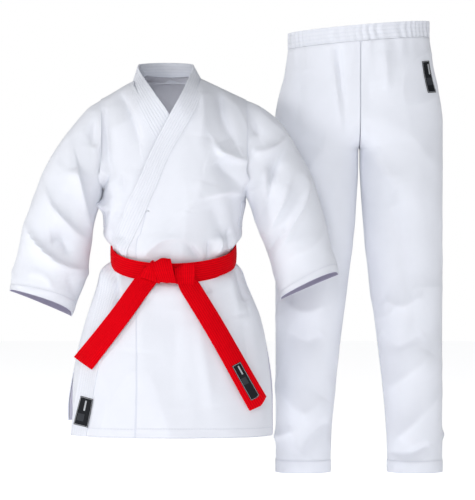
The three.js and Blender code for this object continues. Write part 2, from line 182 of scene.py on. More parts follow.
# ---- the jacket's body ----
RIDGE_CLEAR = 0.008  # how far below the shoulder line a normal is taken at most
FLARE_DROP, FLARE_REACH = 0.020, 0.300
TURN_STEP, Z_STEP = 0.01, 0.001  # how far apart a normal's neighbours are taken
SIDE_CLEAR = 0.0035  # how far a panel stays from the seam at its side, as a turn
TOP_EDGE, TOP_STEP = 0.016, 0.056  # where the top front begins and ends coming in past the under front
BELT_PRESS, PRESS_REACH = 0.45, 0.030


def roof(x):
    return ROOF_Z - SHOULDER_SLOPE * np.abs(x - NECK_X)


def flare(z):
    """How far the skirt has opened, 0 at the belt and 1 where it is widest."""
    return np.sin(np.clip((BELT_Z - FLARE_DROP - z) / FLARE_REACH, 0, 1) * math.pi / 2)


def half_width(z):
    chest = mix(CHEST_HALF, SIDE_HALF, rise(-z, -ARMPIT_Z, -UNDERARM_Z))
    waist = mix(chest, WAIST_HALF, rise(-z, -UNDERARM_Z, -BELT_Z))
    return mix(waist, HEM_HALF, flare(z))


def half_depth(z):
    body = mix(CHEST_DEPTH, WAIST_DEPTH, rise(-z, -UNDERARM_Z, -BELT_Z))
    return mix(body, HEM_DEPTH, flare(z))


def shoulder_drop(x, z):
    """How far down from the shoulder line a point is, 0 on the line and 1 where the chest is full."""
    return np.clip((roof(x) - z) / SHOULDER_ROUND, 0, 1)


def body_point(turn, z):
    """A point on the body: turn is 0 at the front middle and positive to the wearer's left."""
    x = half_width(z) * np.sin(turn)
    full = np.sqrt(1 - (1 - shoulder_drop(x, z)) ** 2)
    fall = SHOULDER_FALL * rise(-x, 0.090, ARMHOLE_X) * (1 - full)
    return xyz(x, -half_depth(z) * np.cos(turn) * full, z - fall)


def body_normal(turn, z):
    low = np.minimum(z, roof(half_width(z) * np.sin(turn)) - RIDGE_CLEAR)
    across = body_point(turn + TURN_STEP, low) - body_point(turn - TURN_STEP, low)
    down = body_point(turn, low - Z_STEP) - body_point(turn, low + Z_STEP)
    return unit(np.cross(down, across))


def turn_at(x, z):
    return np.arcsin(np.clip(x / half_width(z), -1, 1))


def side_turn(z):
    """Where a panel's side runs: round the armhole, then down the side seam."""
    armhole = math.asin(ARMHOLE_X / CHEST_HALF)
    return mix(armhole, math.pi / 2, rise(-z, -ARMPIT_Z, -UNDERARM_Z)) - SIDE_CLEAR


def belt_line(turn):
    return BELT_Z - BELT_DIP * np.maximum(0, np.cos(turn)) ** 1.5


def belt_low(turn):
    return belt_line(turn) - BELT_WIDTH / 2


left_seam = seam((71, -4), (50, -66), (20, -122), (-10, -178), (-53, -288), (-84, -362), (-103, -428),
                 (-152, -620), (-182, -772), (-184, -800))
left_edge = seam((46, 36), (23, -26), (-4, -78), (-39, -147), (-70, -220), (-122, -350), (-140, -427),
                 (-190, -620), (-214, -772), (-216, -800))
right_seam = seam((-97, -14), (-83, -42), (-52, -105), (-10, -185), (36, -290), (70, -375), (90, -430),
                  (112, -520), (128, -800))
right_edge = seam((-83, 28), (-66, 6), (-38, -35), (-7, -79), (32, -150), (84, -270), (117, -370),
                  (132, -430), (154, -520), (170, -800))
extension_seam = seam((-53, -288), (-64, -335), (-73, -380), (-74, -650), (-78, -800))


def top_layer(turn, z):
    """The top front lies outside the under front, and comes in to the body past the under front's edge."""
    past = (turn - turn_at(right_edge(z), z)) * HEM_DEPTH
    lift = (sizes().band + LAYER_GAP) * (1 - rise(past, TOP_EDGE, TOP_STEP))
    lift *= 1 - BELT_PRESS * np.exp(-((np.abs(z - belt_line(turn)) / PRESS_REACH) ** 2))
    return lift * rise(shoulder_drop(half_width(z) * np.sin(turn), z), 0, 0.5)


# ---- folds ----
class Fold:
    """A crease along a line of x and z: it stands out by height, or sinks where that is negative.

    It fades over its width to the left of the line, and over width times far to the right of it."""

    def __init__(self, height, width, far, *line):
        self.line = spline(np.reshape(line, (-1, 2)) / 1000, 6)
        self.height, self.width, self.far = height / 1000, width / 1000, far

    def at(self, x, z):
        best = np.full(x.shape, 1e9)
        side = np.zeros(x.shape)
        run = np.zeros(x.shape)
        steps = len(self.line) - 1
        for i, (a, b) in enumerate(zip(self.line, self.line[1:])):
            d = b - a
            t = np.clip(((x - a[0]) * d[0] + (z - a[1]) * d[1]) / max(d @ d, 1e-12), 0, 1)
            away = np.hypot(x - a[0] - t * d[0], z - a[1] - t * d[1])
            near = away < best
            best = np.where(near, away, best)
            side = np.where(near, (x - a[0]) * d[1] - (z - a[1]) * d[0], side)
            run = np.where(near, (i + t) / steps, run)
        width = np.where(side > 0, self.width * self.far, self.width)
        soft = 0.35 * width
        profile = np.exp(-(np.hypot(best, soft) - soft) / width)
        return self.height * profile * np.sin(np.clip(run, 0.04, 0.96) * math.pi) ** 0.6


def folds(*rows):
    """Creases from rows of height, width, far and then the line's x and z in turn, in millimetres."""
    return tuple(Fold(*row) for row in rows)


CHEST_FOLDS = folds(
    (-7, 7, 2.6, 74, -4, 101, -28, 112, -86, 138, -146), (4, 16, 1, 62, -30, 66, -80, 62, -130),
    (8, 15, 0.42, 92, -146, 104, -162, 130, -174, 160, -181),
    (-7, 16, 1.2, 100, -176, 116, -204, 152, -236),
    (6, 16, 0.42, 60, -262, 104, -246, 130, -244, 151, -251),
    (5, 12, 2.6, -52, -364, 7, -318, 49, -262, 62, -220), (-5, 20, 1, 80, -270, 98, -318, 104, -350),
    (4, 10, 0.6, -58, -392, -41, -370, -18, -352, 24, -348), (-6, 5, 1.8, 35, -364, 48, -380, 58, -396),
    (-5, 5, 1, 76, -352, 72, -396), (6, 6, 1, 98, -340, 92, -386), (-6, 5, 1, 120, -326, 116, -372),
    (-6, 7, 2.0, -119, -24, -99, -63, -83, -102, -72, -144),
    (-8, 15, 0.6, -151, -54, -151, -115, -146, -179, -130, -226), (-4, 7, 1, -112, -210, -108, -246),
    (-7, 5, 1, -168, -258, -152, -236, -140, -212), (8, 4, 2.2, -164, -262, -138, -282),
    (-3, 9, 1, -146, -296, -118, -290, -96, -292), (3, 22, 1, -60, -200, -88, -270, -98, -350),
    (-5, 7, 1, -130, -330, -120, -392), (5, 7, 1, -104, -344, -98, -400),
    (-7, 6, 1, -120, -424, -116, -450, -118, -506), (5, 6, 1, -100, -430, -104, -470),
    (-9, 7, 1.6, 138, -408, 146, -440, 158, -490), (5, 12, 1, 112, -424, 138, -520),
    (-6, 6, 1, 66, -444, 78, -470), (3, 22, 1, -60, -480, -66, -600), (4, 20, 1, 52, -520, 84, -720),
    (-3, 26, 1, 10, -500, 4, -720), (-6, 16, 1, 150, -520, 176, -700),
)
BACK_FOLDS = folds(
    (7, 18, 1, -150, -60, -120, -140, -128, -240), (7, 18, 1, 146, -50, 118, -150, 130, -250),
    (-5, 16, 1, -90, -20, -50, -110, -64, -200), (-5, 16, 1, 84, -24, 44, -120, 66, -210),
    (7, 14, 0.8, -130, -240, -70, -290, -62, -370), (7, 14, 0.8, 134, -236, 80, -300, 58, -372),
    (-5, 10, 1, -36, -250, -28, -374), (5, 9, 1, 20, -280, 16, -374), (-6, 8, 1, -92, -320, -96, -374),
    (-6, 8, 1, 98, -318, 100, -374), (9, 20, 1, -110, -430, -136, -560, -150, -740),
    (-9, 20, 1, -40, -420, -52, -560, -60, -740), (9, 22, 1, 16, -420, 20, -580, 20, -740),
    (-9, 20, 1, 76, -420, 96, -580, 104, -740), (8, 18, 1, 124, -430, 152, -580, 168, -740),
)


PLEAT_HEIGHT, PLEAT_PITCH, PLEAT_REACH = 0.0016, 0.0048, 0.036
SQUEEZE, SIDE_SQUEEZE, HELD_REACH = 0.004, 0.010, 0.026
BLOUSE_RISE, BLOUSE_DROP, BLOUSE_REACH = 0.038, 0.042, 0.020  # where the cloth bulges over and under the belt
LUMP, SMALL_LUMP, CREASE = 0.085, 0.036, 0.150  # sizes of the wrinkles
PRESSED = 0.75  # how much of the folds the belt presses flat


def gathers(turn, z):
    """Small pleats where the belt draws the cloth in, fading above and below it."""
    away = np.abs(z - belt_line(turn))
    girth = turn * WAIST_HALF
    pleat = np.sin(girth / PLEAT_PITCH + 2.3 * np.sin(girth / 0.021 + 0.7))
    pleat *= 0.5 + 0.5 * np.sin(girth / 0.033 + 1.9)
    fade = np.exp(-((away / PLEAT_REACH) ** 2))
    return PLEAT_HEIGHT * pleat * fade * (0.45 + 0.55 * np.sin(np.abs(turn) / 2))


def squeeze(turn):
    """How far the belt draws the jacket in, most at the two sides."""
    return SQUEEZE + SIDE_SQUEEZE * rise(np.abs(np.sin(turn)), 0.55, 1.0)


def drape(turn, z):
    """How far the jacket's cloth stands out from the body at a place, folds and wrinkles together."""
    base = body_point(turn, z)
    x, y = base[..., 0], base[..., 1]
    facing = rise(-np.cos(turn), -0.25, 0.25)
    front = sum(f.at(x, z) for f in CHEST_FOLDS)
    back = sum(f.at(x, z) for f in BACK_FOLDS)
    depth = mix(front, back, facing) * sizes().fold_depth
    skirt = flare(z)
    wave = np.sin(turn * 9 + 1.1) * 0.0016 + np.sin(turn * 15 + 0.4) * 0.0009
    depth += skirt * wave * (1 + 1.6 * facing)
    long = xyz(x, y, z * 0.45)
    lumps = 0.7 * speckle(long, LUMP, 1) + 0.3 * speckle(long, SMALL_LUMP, 2) + 1.8 * creases(long, CREASE, 3)
    depth += sizes().wrinkle_depth * lumps * (0.75 + 0.45 * facing)
    depth += gathers(turn, z)
    height = z - belt_line(turn)
    held = np.exp(-((np.abs(height) / HELD_REACH) ** 2))
    ridge = rise(shoulder_drop(x, z), 0, 0.25)
    above = np.exp(-(((height - BLOUSE_RISE) / BLOUSE_REACH) ** 2))
    below = np.exp(-(((height + BLOUSE_DROP) / BLOUSE_REACH) ** 2))
    aside = rise(np.abs(np.sin(turn)), 0.5, 0.95)
    blouse = above * (0.004 + 0.003 * aside) + below * (0.003 + 0.002 * aside)
    return depth * (1 - PRESSED * held) * ridge - squeeze(turn) * held + blouse


def on_body(turn, z, offset, draped=True):
    turn, z = np.broadcast_arrays(np.asarray(turn, float), np.asarray(z, float))
    out = offset + (drape(turn, z) if draped else 0)
    return body_point(turn, z) + body_normal(turn, z) * np.asarray(out)[..., None]


# ---- making a piece of cloth ----
PATTERN = np.meshgrid(np.linspace(0, 1, 25), np.linspace(0, 1, 25))  # where the flat size is measured
EDGE_ROUND, EDGE_SHARE = 0.0007, 0.35  # a folded edge's radius, and the most of the thickness it takes
EDGE_ANGLE = math.radians(62)
WELD_REACH = 0.0002
LEAST_CUT = 0.31  # the least share of its rectangle that a piece is taken to fill


def extent(points):
    """The mean width and length of a grid of points, whose rows run across."""
    width = np.linalg.norm(np.diff(points, axis=1), axis=2).sum(1)
    length = np.linalg.norm(np.diff(points, axis=0), axis=2).sum(0)
    return float(width.mean()), float(length.mean())


def settle(obj):
    """Applies an object's modifiers, so that its mesh is final."""
    graph = bpy.context.evaluated_depsgraph_get()
    final = bpy.data.meshes.new_from_object(
        obj.evaluated_get(graph), preserve_all_data_layers=True, depsgraph=graph)
    old = obj.data
    final.name = old.name
    obj.modifiers.clear()
    obj.data = final
    bpy.data.meshes.remove(old)


def thicken(obj, thickness):
    solid = obj.modifiers.new("Thickness", "SOLIDIFY")
    solid.thickness = thickness
    solid.offset = -1
    solid.material_offset = 1
    solid.material_offset_rim = 0
    bevel = obj.modifiers.new("Folded edge", "BEVEL")
    bevel.width = min(EDGE_ROUND, thickness * EDGE_SHARE)
    bevel.segments = 2
    bevel.limit_method = "ANGLE"
    bevel.angle_limit = EDGE_ANGLE
    bevel.harden_normals = True


def from_axis(x=0.0, y=0.0):
    """Outward is away from an upright line."""
    return lambda p: (p[0] - x, p[1] - y, 0)


def cloth(name, shape, thickness=None, outward=from_axis(), cell=None, outside="cotton", inside="lining_painted_light",
          slot="white_cotton", weld=False):
    """A sheet of cloth, with its flat width, length and area.

    shape(u, v) gives the place of its outer face, across by u and down by v, both 0 to 1."""
    cell = cell or (sizes().cell, sizes().cell)
    coarse = 1
    width, length = extent(shape(*PATTERN))
    across, down = (max(2, math.ceil(size / (step * coarse))) for size, step in zip((width, length), cell))
    bm = bmesh.new()
    bm.loops.layers.uv.new("UVMap")
    bmesh.ops.create_grid(bm, x_segments=across, y_segments=down, size=0.5, calc_uvs=True)
    mesh = bpy.data.meshes.new(name)
    bm.to_mesh(mesh)
    bm.free()
    flat = np.zeros(len(mesh.vertices) * 3)
    mesh.vertices.foreach_get("co", flat)
    flat = flat.reshape(-1, 3)
    u, v = flat[:, 0] + 0.5, 0.5 - flat[:, 1]
    mesh.vertices.foreach_set("co", shape(u, v).ravel())
    corner = np.zeros(len(mesh.loops), int)
    mesh.loops.foreach_get("vertex_index", corner)
    chart = np.stack([u * width, v * length], axis=1)[corner]
    mesh.uv_layers.active.data.foreach_set("uv", chart.ravel())
    margin = np.minimum(np.minimum(u, 1 - u) * width, np.minimum(v, 1 - v) * length)
    for label, values in (("margin", margin), ("foot", (1 - v) * length)):
        mesh.attributes.new(label, "FLOAT", "POINT").data.foreach_set("value", values.astype(np.float32))
    mesh.update()
    bm = bmesh.new()
    bm.from_mesh(mesh)
    if sum(f.normal.dot(Vector(outward(np.array(f.calc_center_median())))) for f in bm.faces) < 0:
        bmesh.ops.reverse_faces(bm, faces=bm.faces[:])
    if weld:
        bmesh.ops.remove_doubles(bm, verts=bm.verts[:], dist=WELD_REACH)
    bm.to_mesh(mesh)
    bm.free()
    mesh.shade_smooth()
    obj = bpy.data.objects.new(name, mesh)
    bpy.context.scene.collection.objects.link(obj)
    mesh.materials.append(material(outside))
    mesh.materials.append(material(inside))
    area = min(sum(p.area for p in mesh.polygons), width * length)
    thicken(obj, thickness or sizes().cloth)
    bpy.context.view_layer.update()
    settle(obj)
    return obj, width, length, area


def sew(name, nodes, shape, held, rests_on, carry, fuller=1.0, **cut):
    """Cuts a piece that stands for the nodes and hides them, then ties it to the body that carries it, or
    bakes its place in when two bodies carry it.

    carry is one body, or two with the places where it leaves the first and joins the second. fuller is how
    much wider the piece was cut than its gathered width."""
    piece, width, length, area = cloth(name, shape, **cut)
    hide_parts(*nodes)
    width *= fuller
    area = min(max(area * fuller, LEAST_CUT * width * length), width * length)
    if isinstance(carry, str):
        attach(piece, carry)
    else:
        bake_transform(piece)


# ---- finishes ----
THREAD_PITCH, THREAD_SHARE, THREAD_HALF = 0.0042, 0.74, 0.0007
THREAD_TINT = (0.90, 0.91, 0.94, 1)
WEAVE_DEPTH = 0.00022
LABEL_SIZE = (0.028, 0.064)
BELT_LABEL_SIZE = (0.019, 0.058)
BORDER_AT, BORDER_HALF = 0.0018, 0.0004
BAR_COLOUR, BLOCK_COLOUR = (0.62, 0.64, 0.68, 1), (0.045, 0.048, 0.056, 1)


class Finish:
    """A finish in the making: its material, its shader and the nodes that draw its threads."""

    def __init__(self, name, rough, sheen=0.0, gloss=0.5):
        self.mat = bpy.data.materials.new(name)
        self.mat.use_nodes = True
        self.tree = self.mat.node_tree
        self.shader = self.tree.nodes["Principled BSDF"]
        for key, value in (("Roughness", rough), ("Sheen Weight", sheen), ("Specular IOR Level", gloss)):
            self.shader.inputs[key].default_value = value

    def put(self, socket, value):
        """Gives a socket a constant, or a link from another node."""
        if isinstance(value, bpy.types.NodeSocket):
            self.tree.links.new(value, socket)
        else:
            socket.default_value = value

    def add(self, kind, inputs=(), **settings):
        made = self.tree.nodes.new("ShaderNode" + kind)
        for key, value in settings.items():
            setattr(made, key, value)
        for key, value in dict(inputs).items():
            self.put(made.inputs[key], value)
        return made

    def maths(self, operation, *values, clamp=False):
        made = self.add("Math", enumerate(values), operation=operation, use_clamp=clamp)
        return made.outputs[0]

    def times(self, a, b):
        return self.maths("MULTIPLY", a, b)

    def attribute(self, name):
        return self.add("Attribute", attribute_name=name).outputs["Fac"]

    def mixed(self, share, first, second, blend="MIX"):
        """Two colours mixed by a share from 0 to 1."""
        made = self.add("Mix", data_type="RGBA", blend_type=blend)
        for index, value in ((0, share), (6, first), (7, second)):
            self.put(made.inputs[index], value)
        return made.outputs[2]

    def ridges(self, value, pitch, sharp=1.0):
        """A row of rounded ribs across a value in metres, 0 to 1, one every pitch."""
        wave = self.maths("SINE", self.times(value, 2 * math.pi / pitch))
        return self.maths("POWER", self.maths("MULTIPLY_ADD", wave, 0.5, 0.5), sharp)

    def weave(self, pitch, diagonal=0.0):
        """The height of a plain weave, slanted like twill by diagonal, from the piece's UV map in metres."""
        self.place = self.add("TexCoord").outputs
        apart = self.add("SeparateXYZ", {"Vector": self.place["UV"]}).outputs
        self.x, self.y = apart["X"], apart["Y"]
        warp = self.ridges(self.maths("MULTIPLY_ADD", self.y, diagonal, self.x), pitch)
        weft = self.ridges(self.y, pitch * 1.15)
        slub = self.add("TexNoise", {"Vector": self.place["UV"], "Scale": 700.0, "Detail": 3.0})
        return self.maths("ADD", self.maths("MAXIMUM", warp, weft), self.times(slub.outputs["Fac"], 0.8))

    def tinted(self, colour, spread, scale):
        """The cloth's colour, drifting a little over its surface as washed cotton's does."""
        drift = self.add("TexNoise", {"Vector": self.place["Object"], "Scale": scale, "Detail": 4.0,
                                      "Roughness": 0.6})
        ramp = self.add("ValToRGB", {"Fac": drift.outputs["Fac"]})
        ends = ramp.color_ramp.elements
        ends[0].position, ends[1].position = 0.3, 0.7
        ends[0].color = (*[c * (1 - spread) for c in colour], 1)
        ends[1].color = (*[min(1, c * (1 + spread * 0.6)) for c in colour], 1)
        return ramp.outputs["Color"]

    def stitches(self, at):
        """A row of thread at a height above the hem: 1 on the thread and 0 elsewhere."""
        near = self.maths("ABSOLUTE", self.maths("SUBTRACT", self.attribute("foot"), at))
        along = self.maths("FRACT", self.maths("DIVIDE", self.x, THREAD_PITCH))
        row, dash = self.maths("LESS_THAN", near, THREAD_HALF), self.maths("LESS_THAN", along, THREAD_SHARE)
        return self.times(row, dash)

    def coat(self, colour, height, depth):
        """Gives the shader its colour and its bump, and returns the finished material."""
        self.put(self.shader.inputs["Base Color"], colour)
        bump = self.add("Bump", {"Height": height, "Distance": depth})
        self.put(self.shader.inputs["Normal"], bump.outputs["Normal"])
        return self.mat


def make_cotton(name, colour, pitch=0.0011, row_at=None, seam_at=None, rough=0.86, spread=0.025):
    """Bleached cotton: a plain weave, a soft sheen, a stitched row above the hem and a line at each seam."""
    f = Finish(name, rough, sheen=0.25, gloss=0.25)
    height = f.weave(pitch, 0.5)
    base = f.tinted(colour, spread, 9.0)
    if row_at:
        threads = f.stitches(row_at)
        if seam_at:
            threads = f.maths("MAXIMUM", threads, f.maths("LESS_THAN", f.attribute("margin"), seam_at))
        base = f.mixed(threads, base, THREAD_TINT, "MULTIPLY")
        height = f.maths("ADD", height, f.times(threads, 2.2))
    return f.coat(base, height, WEAVE_DEPTH)


def make_banded(name, colour, pitch, rough, depth, groove_shade=(0.86, 0.87, 0.90, 1), sheen=0.25, spread=0.02,
                gloss=0.2):
    """Cloth sewn through in close rows along its length, as on the lapels, the waistband and the belt, with
    painted shade darkening the grooves between the rows.
    """
    f = Finish(name, rough, sheen, gloss)
    height = f.weave(0.0009)
    base = f.tinted(colour, spread, 14.0)
    rib = f.ridges(f.x, pitch, 0.35)
    dash = f.ridges(f.y, 0.0035, 0.5)
    groove = f.maths("SUBTRACT", 1.0, rib, clamp=True)
    # painted shade: the colour is darkened in the grooves between the rows, most along the stitch dashes
    base = f.mixed(f.times(groove, f.maths("MULTIPLY_ADD", dash, 0.6, 0.5)), base, groove_shade, "MULTIPLY")
    height = f.maths("ADD", height, f.times(rib, 3.0))
    height = f.maths("ADD", height, f.times(f.times(groove, dash), 1.5))
    return f.coat(base, height, depth)


def make_label(name, colour, size):
    """A black woven label: a pale border thread, a pale bar, a grey block and a satin weave."""
    f = Finish(name, 0.6, gloss=0.12)
    height = f.weave(0.0006)
    edge = f.maths("ABSOLUTE", f.maths("SUBTRACT", f.attribute("margin"), BORDER_AT))

    def block(*shares):
        """1 inside a rectangle given by its left, right, lower and upper sides as shares of the label."""
        left, right, low, high = (share * size[i // 2] for i, share in enumerate(shares))
        across = f.times(f.maths("GREATER_THAN", f.x, left), f.maths("LESS_THAN", f.x, right))
        return f.times(across, f.times(f.maths("GREATER_THAN", f.y, low), f.maths("LESS_THAN", f.y, high)))

    pale = f.maths("MAXIMUM", f.maths("LESS_THAN", edge, BORDER_HALF), block(0.62, 0.80, 0.12, 0.48))
    base = f.mixed(f.times(pale, 0.75), (*colour, 1), BAR_COLOUR)
    base = f.mixed(f.times(block(0.18, 0.86, 0.60, 0.86), 0.8), base, BLOCK_COLOUR)
    return f.coat(base, f.maths("ADD", height, f.times(pale, 1.5)), 0.00012)


def material(key):
    """The finish of that name, made the first time that it is asked for."""
    made = bpy.data.materials.get(key)
    if made:
        return made
    c, s = colours(), sizes()
    cotton, label = tuple(c.cotton), tuple(c.label)
    brighter = tuple(min(1, v * 1.04) for v in cotton)
    makers = {
        "cotton": lambda: make_cotton(key, cotton, row_at=0.0200, seam_at=0.0014),
        "trouser_cotton": lambda: make_cotton(key, brighter, row_at=0.0280, seam_at=0.0010),
        # painted light: the jacket's inside is made lighter than its outside cotton, in place of the light
        # falling inside it
        "lining_painted_light": lambda: make_cotton(key, tuple(c.lining_painted_light), pitch=0.0015, rough=0.92),
        # painted shade: the inside of the sleeves is a dark lavender grey that stands in for the shade inside
        # the tubes; the cloth there is the same white cotton
        "sleeve_inside_painted_shade": lambda: make_cotton(key, (0.44, 0.415, 0.56), pitch=0.0020, rough=0.95, spread=0.10),
        # painted shade: the vent facings, hem turnings and crotch gusset are a darker lavender grey that
        # stands in for the shade on the inner side of the cloth; they are the same white cotton
        "facing": lambda: make_cotton(key, (0.60, 0.59, 0.71), row_at=0.003, rough=0.9),
        "lapel": lambda: make_banded(key, cotton, s.stitch_pitch, 0.84, 0.00022, groove_shade=(0.92, 0.93, 0.95, 1)),
        "gathered": lambda: make_banded(key, cotton, 0.0085, 0.85, 0.00016, groove_shade=(0.95, 0.955, 0.97, 1)),
        "elastic": lambda: make_banded(key, (0.70, 0.70, 0.76), 0.0030, 0.95, 0.00035),
        "belt": lambda: make_banded(key, tuple(c.belt), s.belt_pitch, 0.62, 0.00030, groove_shade=(0.66, 0.5, 0.5, 1),
                                    sheen=0.0, spread=0.05, gloss=0.03),
        "label": lambda: make_label(key, label, LABEL_SIZE),
        "belt_label": lambda: make_label(key, label, BELT_LABEL_SIZE),
    }
    return makers[key]()


# ---- the jacket's panels ----
SHOULDER_ARC = 0.165
SHOULDER_LAP = 0.004  # how far the front and the back run past each other at the shoulder seam
UNDER_BAND = 0.012  # how far a front goes on beneath its lapel band
EXTENSION_TOP = -0.288
VENT_TOP, VENT_FULL, VENT_OPEN = 0.395, 0.460, math.radians(4)
VENT_RECESS = math.radians(11)  # how far the left front's edge draws back from its facing
FRONT_SKIRT = ("jacket", "skirt_front", (0, 0, -0.405), (0, 0, -0.500))
BACK_SKIRT = ("jacket", "skirt_back", (0, 0, -0.385), (0, 0, -0.480))


def row_share(v, reach):
    """How far down a panel its rows are: evenly spaced over the rounded shoulder and then down the front."""
    run = v * (SHOULDER_ARC + reach - SHOULDER_ROUND)
    over = SHOULDER_ROUND * (1 - np.cos(np.clip(run / SHOULDER_ARC, 0, 1) * math.pi / 2))
    return (over + np.maximum(0, run - SHOULDER_ARC)) / reach


def shoulder(turn):
    return roof(CHEST_HALF * np.sin(turn))


def panel_shape(edges, top, bottom, offset, spread=None, rounded=True):
    """A piece of the jacket from top(turn) to bottom(turn), between edges that give a turn at a height."""

    def shape(u, v):
        reach = float(top(0.0) - bottom(0.0))
        share = row_share(v, reach) if rounded else v
        level = mix(top(0.0), bottom(0.0), share)
        turn = mix(edges[0](level), edges[1](level), u)
        z = mix(top(turn), bottom(turn), share)
        turn = mix(edges[0](z), edges[1](z), u)
        points = on_body(turn, z, offset(turn, z))
        if rounded:
            points[..., 1] += SHOULDER_LAP * np.sign(np.cos(turn)) * (1 - rise(v, 0, 0.012))
        if spread:
            points[..., 0] *= 1 + spread(turn, z)
        return points

    return shape


def on_seam(line, under=0.0):
    """An edge on a seam line, or going on beneath the band that is sewn there."""
    return lambda z: turn_at(line(z) + under, z)


def vent_side(side, back=False):
    """A side seam that opens into a vent below the belt."""

    def edge(z):
        full = side * (math.pi - side_turn(z)) if back else side * side_turn(z)
        opened = side * (math.pi / 2 + (1 if back else -1) * VENT_OPEN)
        if side == LEFT and not back:
            opened = opened - VENT_RECESS * rise(-z, 0.490, 0.640)
        return mix(full, opened, rise(-z, VENT_TOP, VENT_FULL))

    return edge


def skirt_spread(turn, z):
    return np.where(np.sin(turn) < 0, 0.055 * rise(-z, 0.600, 0.740), -0.010 * flare(z))


hem = always(HEM_Z)
back_hem = always(BACK_HEM_Z)


def neck_back(turn):
    return np.minimum(shoulder(turn), 0.010)


def over(thickness):
    return lambda turn, z: thickness + top_layer(turn, z)


class UNIFORM_OT_fronts(bpy.types.Operator):
    """Cuts and hangs the two fronts and the wedge that widens the top one"""

    bl_idname = "uniform.fronts"
    bl_label = "Jacket fronts"

    def execute(self, context):
        thick = sizes().cloth

        def inner_edge(z):
            return turn_at(np.where(z > EXTENSION_TOP, left_seam(z) - UNDER_BAND, extension_seam(z)), z)

        wedge = (on_seam(left_seam, -0.010), on_seam(extension_seam))
        panels = (
            ("front_panel_right", ("front_right", "skirt_front_right"),
             panel_shape((vent_side(RIGHT), on_seam(right_seam, UNDER_BAND)), shoulder, hem, always(thick))),
            ("front_panel_left", ("front_left", "skirt_front_left"),
             panel_shape((inner_edge, vent_side(LEFT)), shoulder, hem, over(thick))),
            ("front_wedge_left", ("front_extension_left",),
             panel_shape(wedge, always(EXTENSION_TOP - 0.002), hem, over(thick), rounded=False)),
        )
        for name, nodes, shape in panels:
            sew(name, nodes, shape, "hung", ("collar_band",), FRONT_SKIRT)
        return {"FINISHED"}


def smooth_join(rows, joint, reach, strength):
    """Rounds a band where two of its parts meet, so that it turns in one soft curve."""
    size = 12
    kernel = np.exp(-np.linspace(-2, 2, 2 * size + 1) ** 2)
    kernel /= kernel.sum()
    padded = np.concatenate([rows[:1].repeat(size, 0), rows, rows[-1:].repeat(size, 0)])
    soft = sum(k * padded[i:i + len(rows)] for i, k in enumerate(kernel))
    share = strength * np.exp(-(((np.arange(len(rows)) - joint) / reach) ** 2))
    return mix(rows, soft, share[:, None, None])


BAND_ROWS, COLLAR_ROWS, BAND_COLUMNS = 190, 60, 25
BAND_CORE = 0.85  # the share of the band's thickness that its cloth takes
JOIN_ROWS, JOIN_STRENGTH = 9, 0.9


def lapel_rows(seam_line, edge_line, seam_top, edge_top, offset):
    v = np.linspace(0, 1, BAND_ROWS)[:, None]
    u = np.linspace(0, 1, BAND_COLUMNS)[None, :]
    level_seam, level_edge = mix(seam_top, HEM_Z, v), mix(edge_top, HEM_Z, v)
    x = mix(seam_line(level_seam), edge_line(level_edge), u)
    z = mix(level_seam, level_edge, u)
    turn = turn_at(x, z)
    return on_body(turn, z, offset(turn, z))


def collar_rows():
    angle = np.linspace(0, math.pi, COLLAR_ROWS)[:, None]
    u = np.linspace(0, 1, BAND_COLUMNS)[None, :]
    around = np.sin(angle)
    low = xyz(-0.013 + 0.084 * np.cos(angle), mix(-0.004, 0.076, around), mix(-0.008, -0.002, around))
    high = xyz(-0.018 + 0.066 * np.cos(angle), mix(0.002, 0.064, around), mix(0.034, 0.043, around))
    return mix(low, high, u[..., None])


def row_surface(rows):
    """A surface through rows of points, as a function of u across and v along."""
    count, columns = rows.shape[0] - 1, rows.shape[1] - 1

    def shape(u, v):
        a, b = np.clip(v, 0, 1) * count, np.clip(u, 0, 1) * columns
        i, j = np.minimum(a.astype(int), count - 1), np.minimum(b.astype(int), columns - 1)
        s, t = (a - i)[..., None], (b - j)[..., None]
        return mix(mix(rows[i, j], rows[i, j + 1], t), mix(rows[i + 1, j], rows[i + 1, j + 1], t), s)

    return shape


class UNIFORM_OT_lapels(bpy.types.Operator):
    """Folds and stitches the lapel band, from one hem round the neck to the other"""

    bl_idname = "uniform.lapels"
    bl_label = "Lapels and collar"

    def execute(self, context):
        s = sizes()
        left = lapel_rows(left_seam, left_edge, -0.004, 0.036, over(s.band))
        right = lapel_rows(right_seam, right_edge, -0.014, 0.028, always(s.band))
        band = np.concatenate([left[::-1], collar_rows(), right])
        joints = (BAND_ROWS, BAND_ROWS + COLLAR_ROWS)
        for joint in joints:
            for _ in range(2):
                band = smooth_join(band, joint, JOIN_ROWS, JOIN_STRENGTH)
        aside, up = from_axis(), lambda p: (p[0] + 0.013, p[1] - 0.004, 0.02)
        parts = (
            ("lapel_band_left", ("lapel_left", "lapel_left_lower"), band[:joints[0] + 1], FRONT_SKIRT, aside),
            ("collar_band", ("collar_back",), band[joints[0]:joints[1] + 1], "jacket", up),
            ("lapel_band_right", ("lapel_right", "lapel_right_lower"), band[joints[1]:], FRONT_SKIRT, aside),
        )
        for name, nodes, rows, carry, outward in parts:
            sew(name, nodes, row_surface(rows), "folded", ("jacket",), carry, thickness=s.band * BAND_CORE,
                outward=outward, cell=(0.0013, s.cell), outside="lapel", inside="lapel")
        return {"FINISHED"}


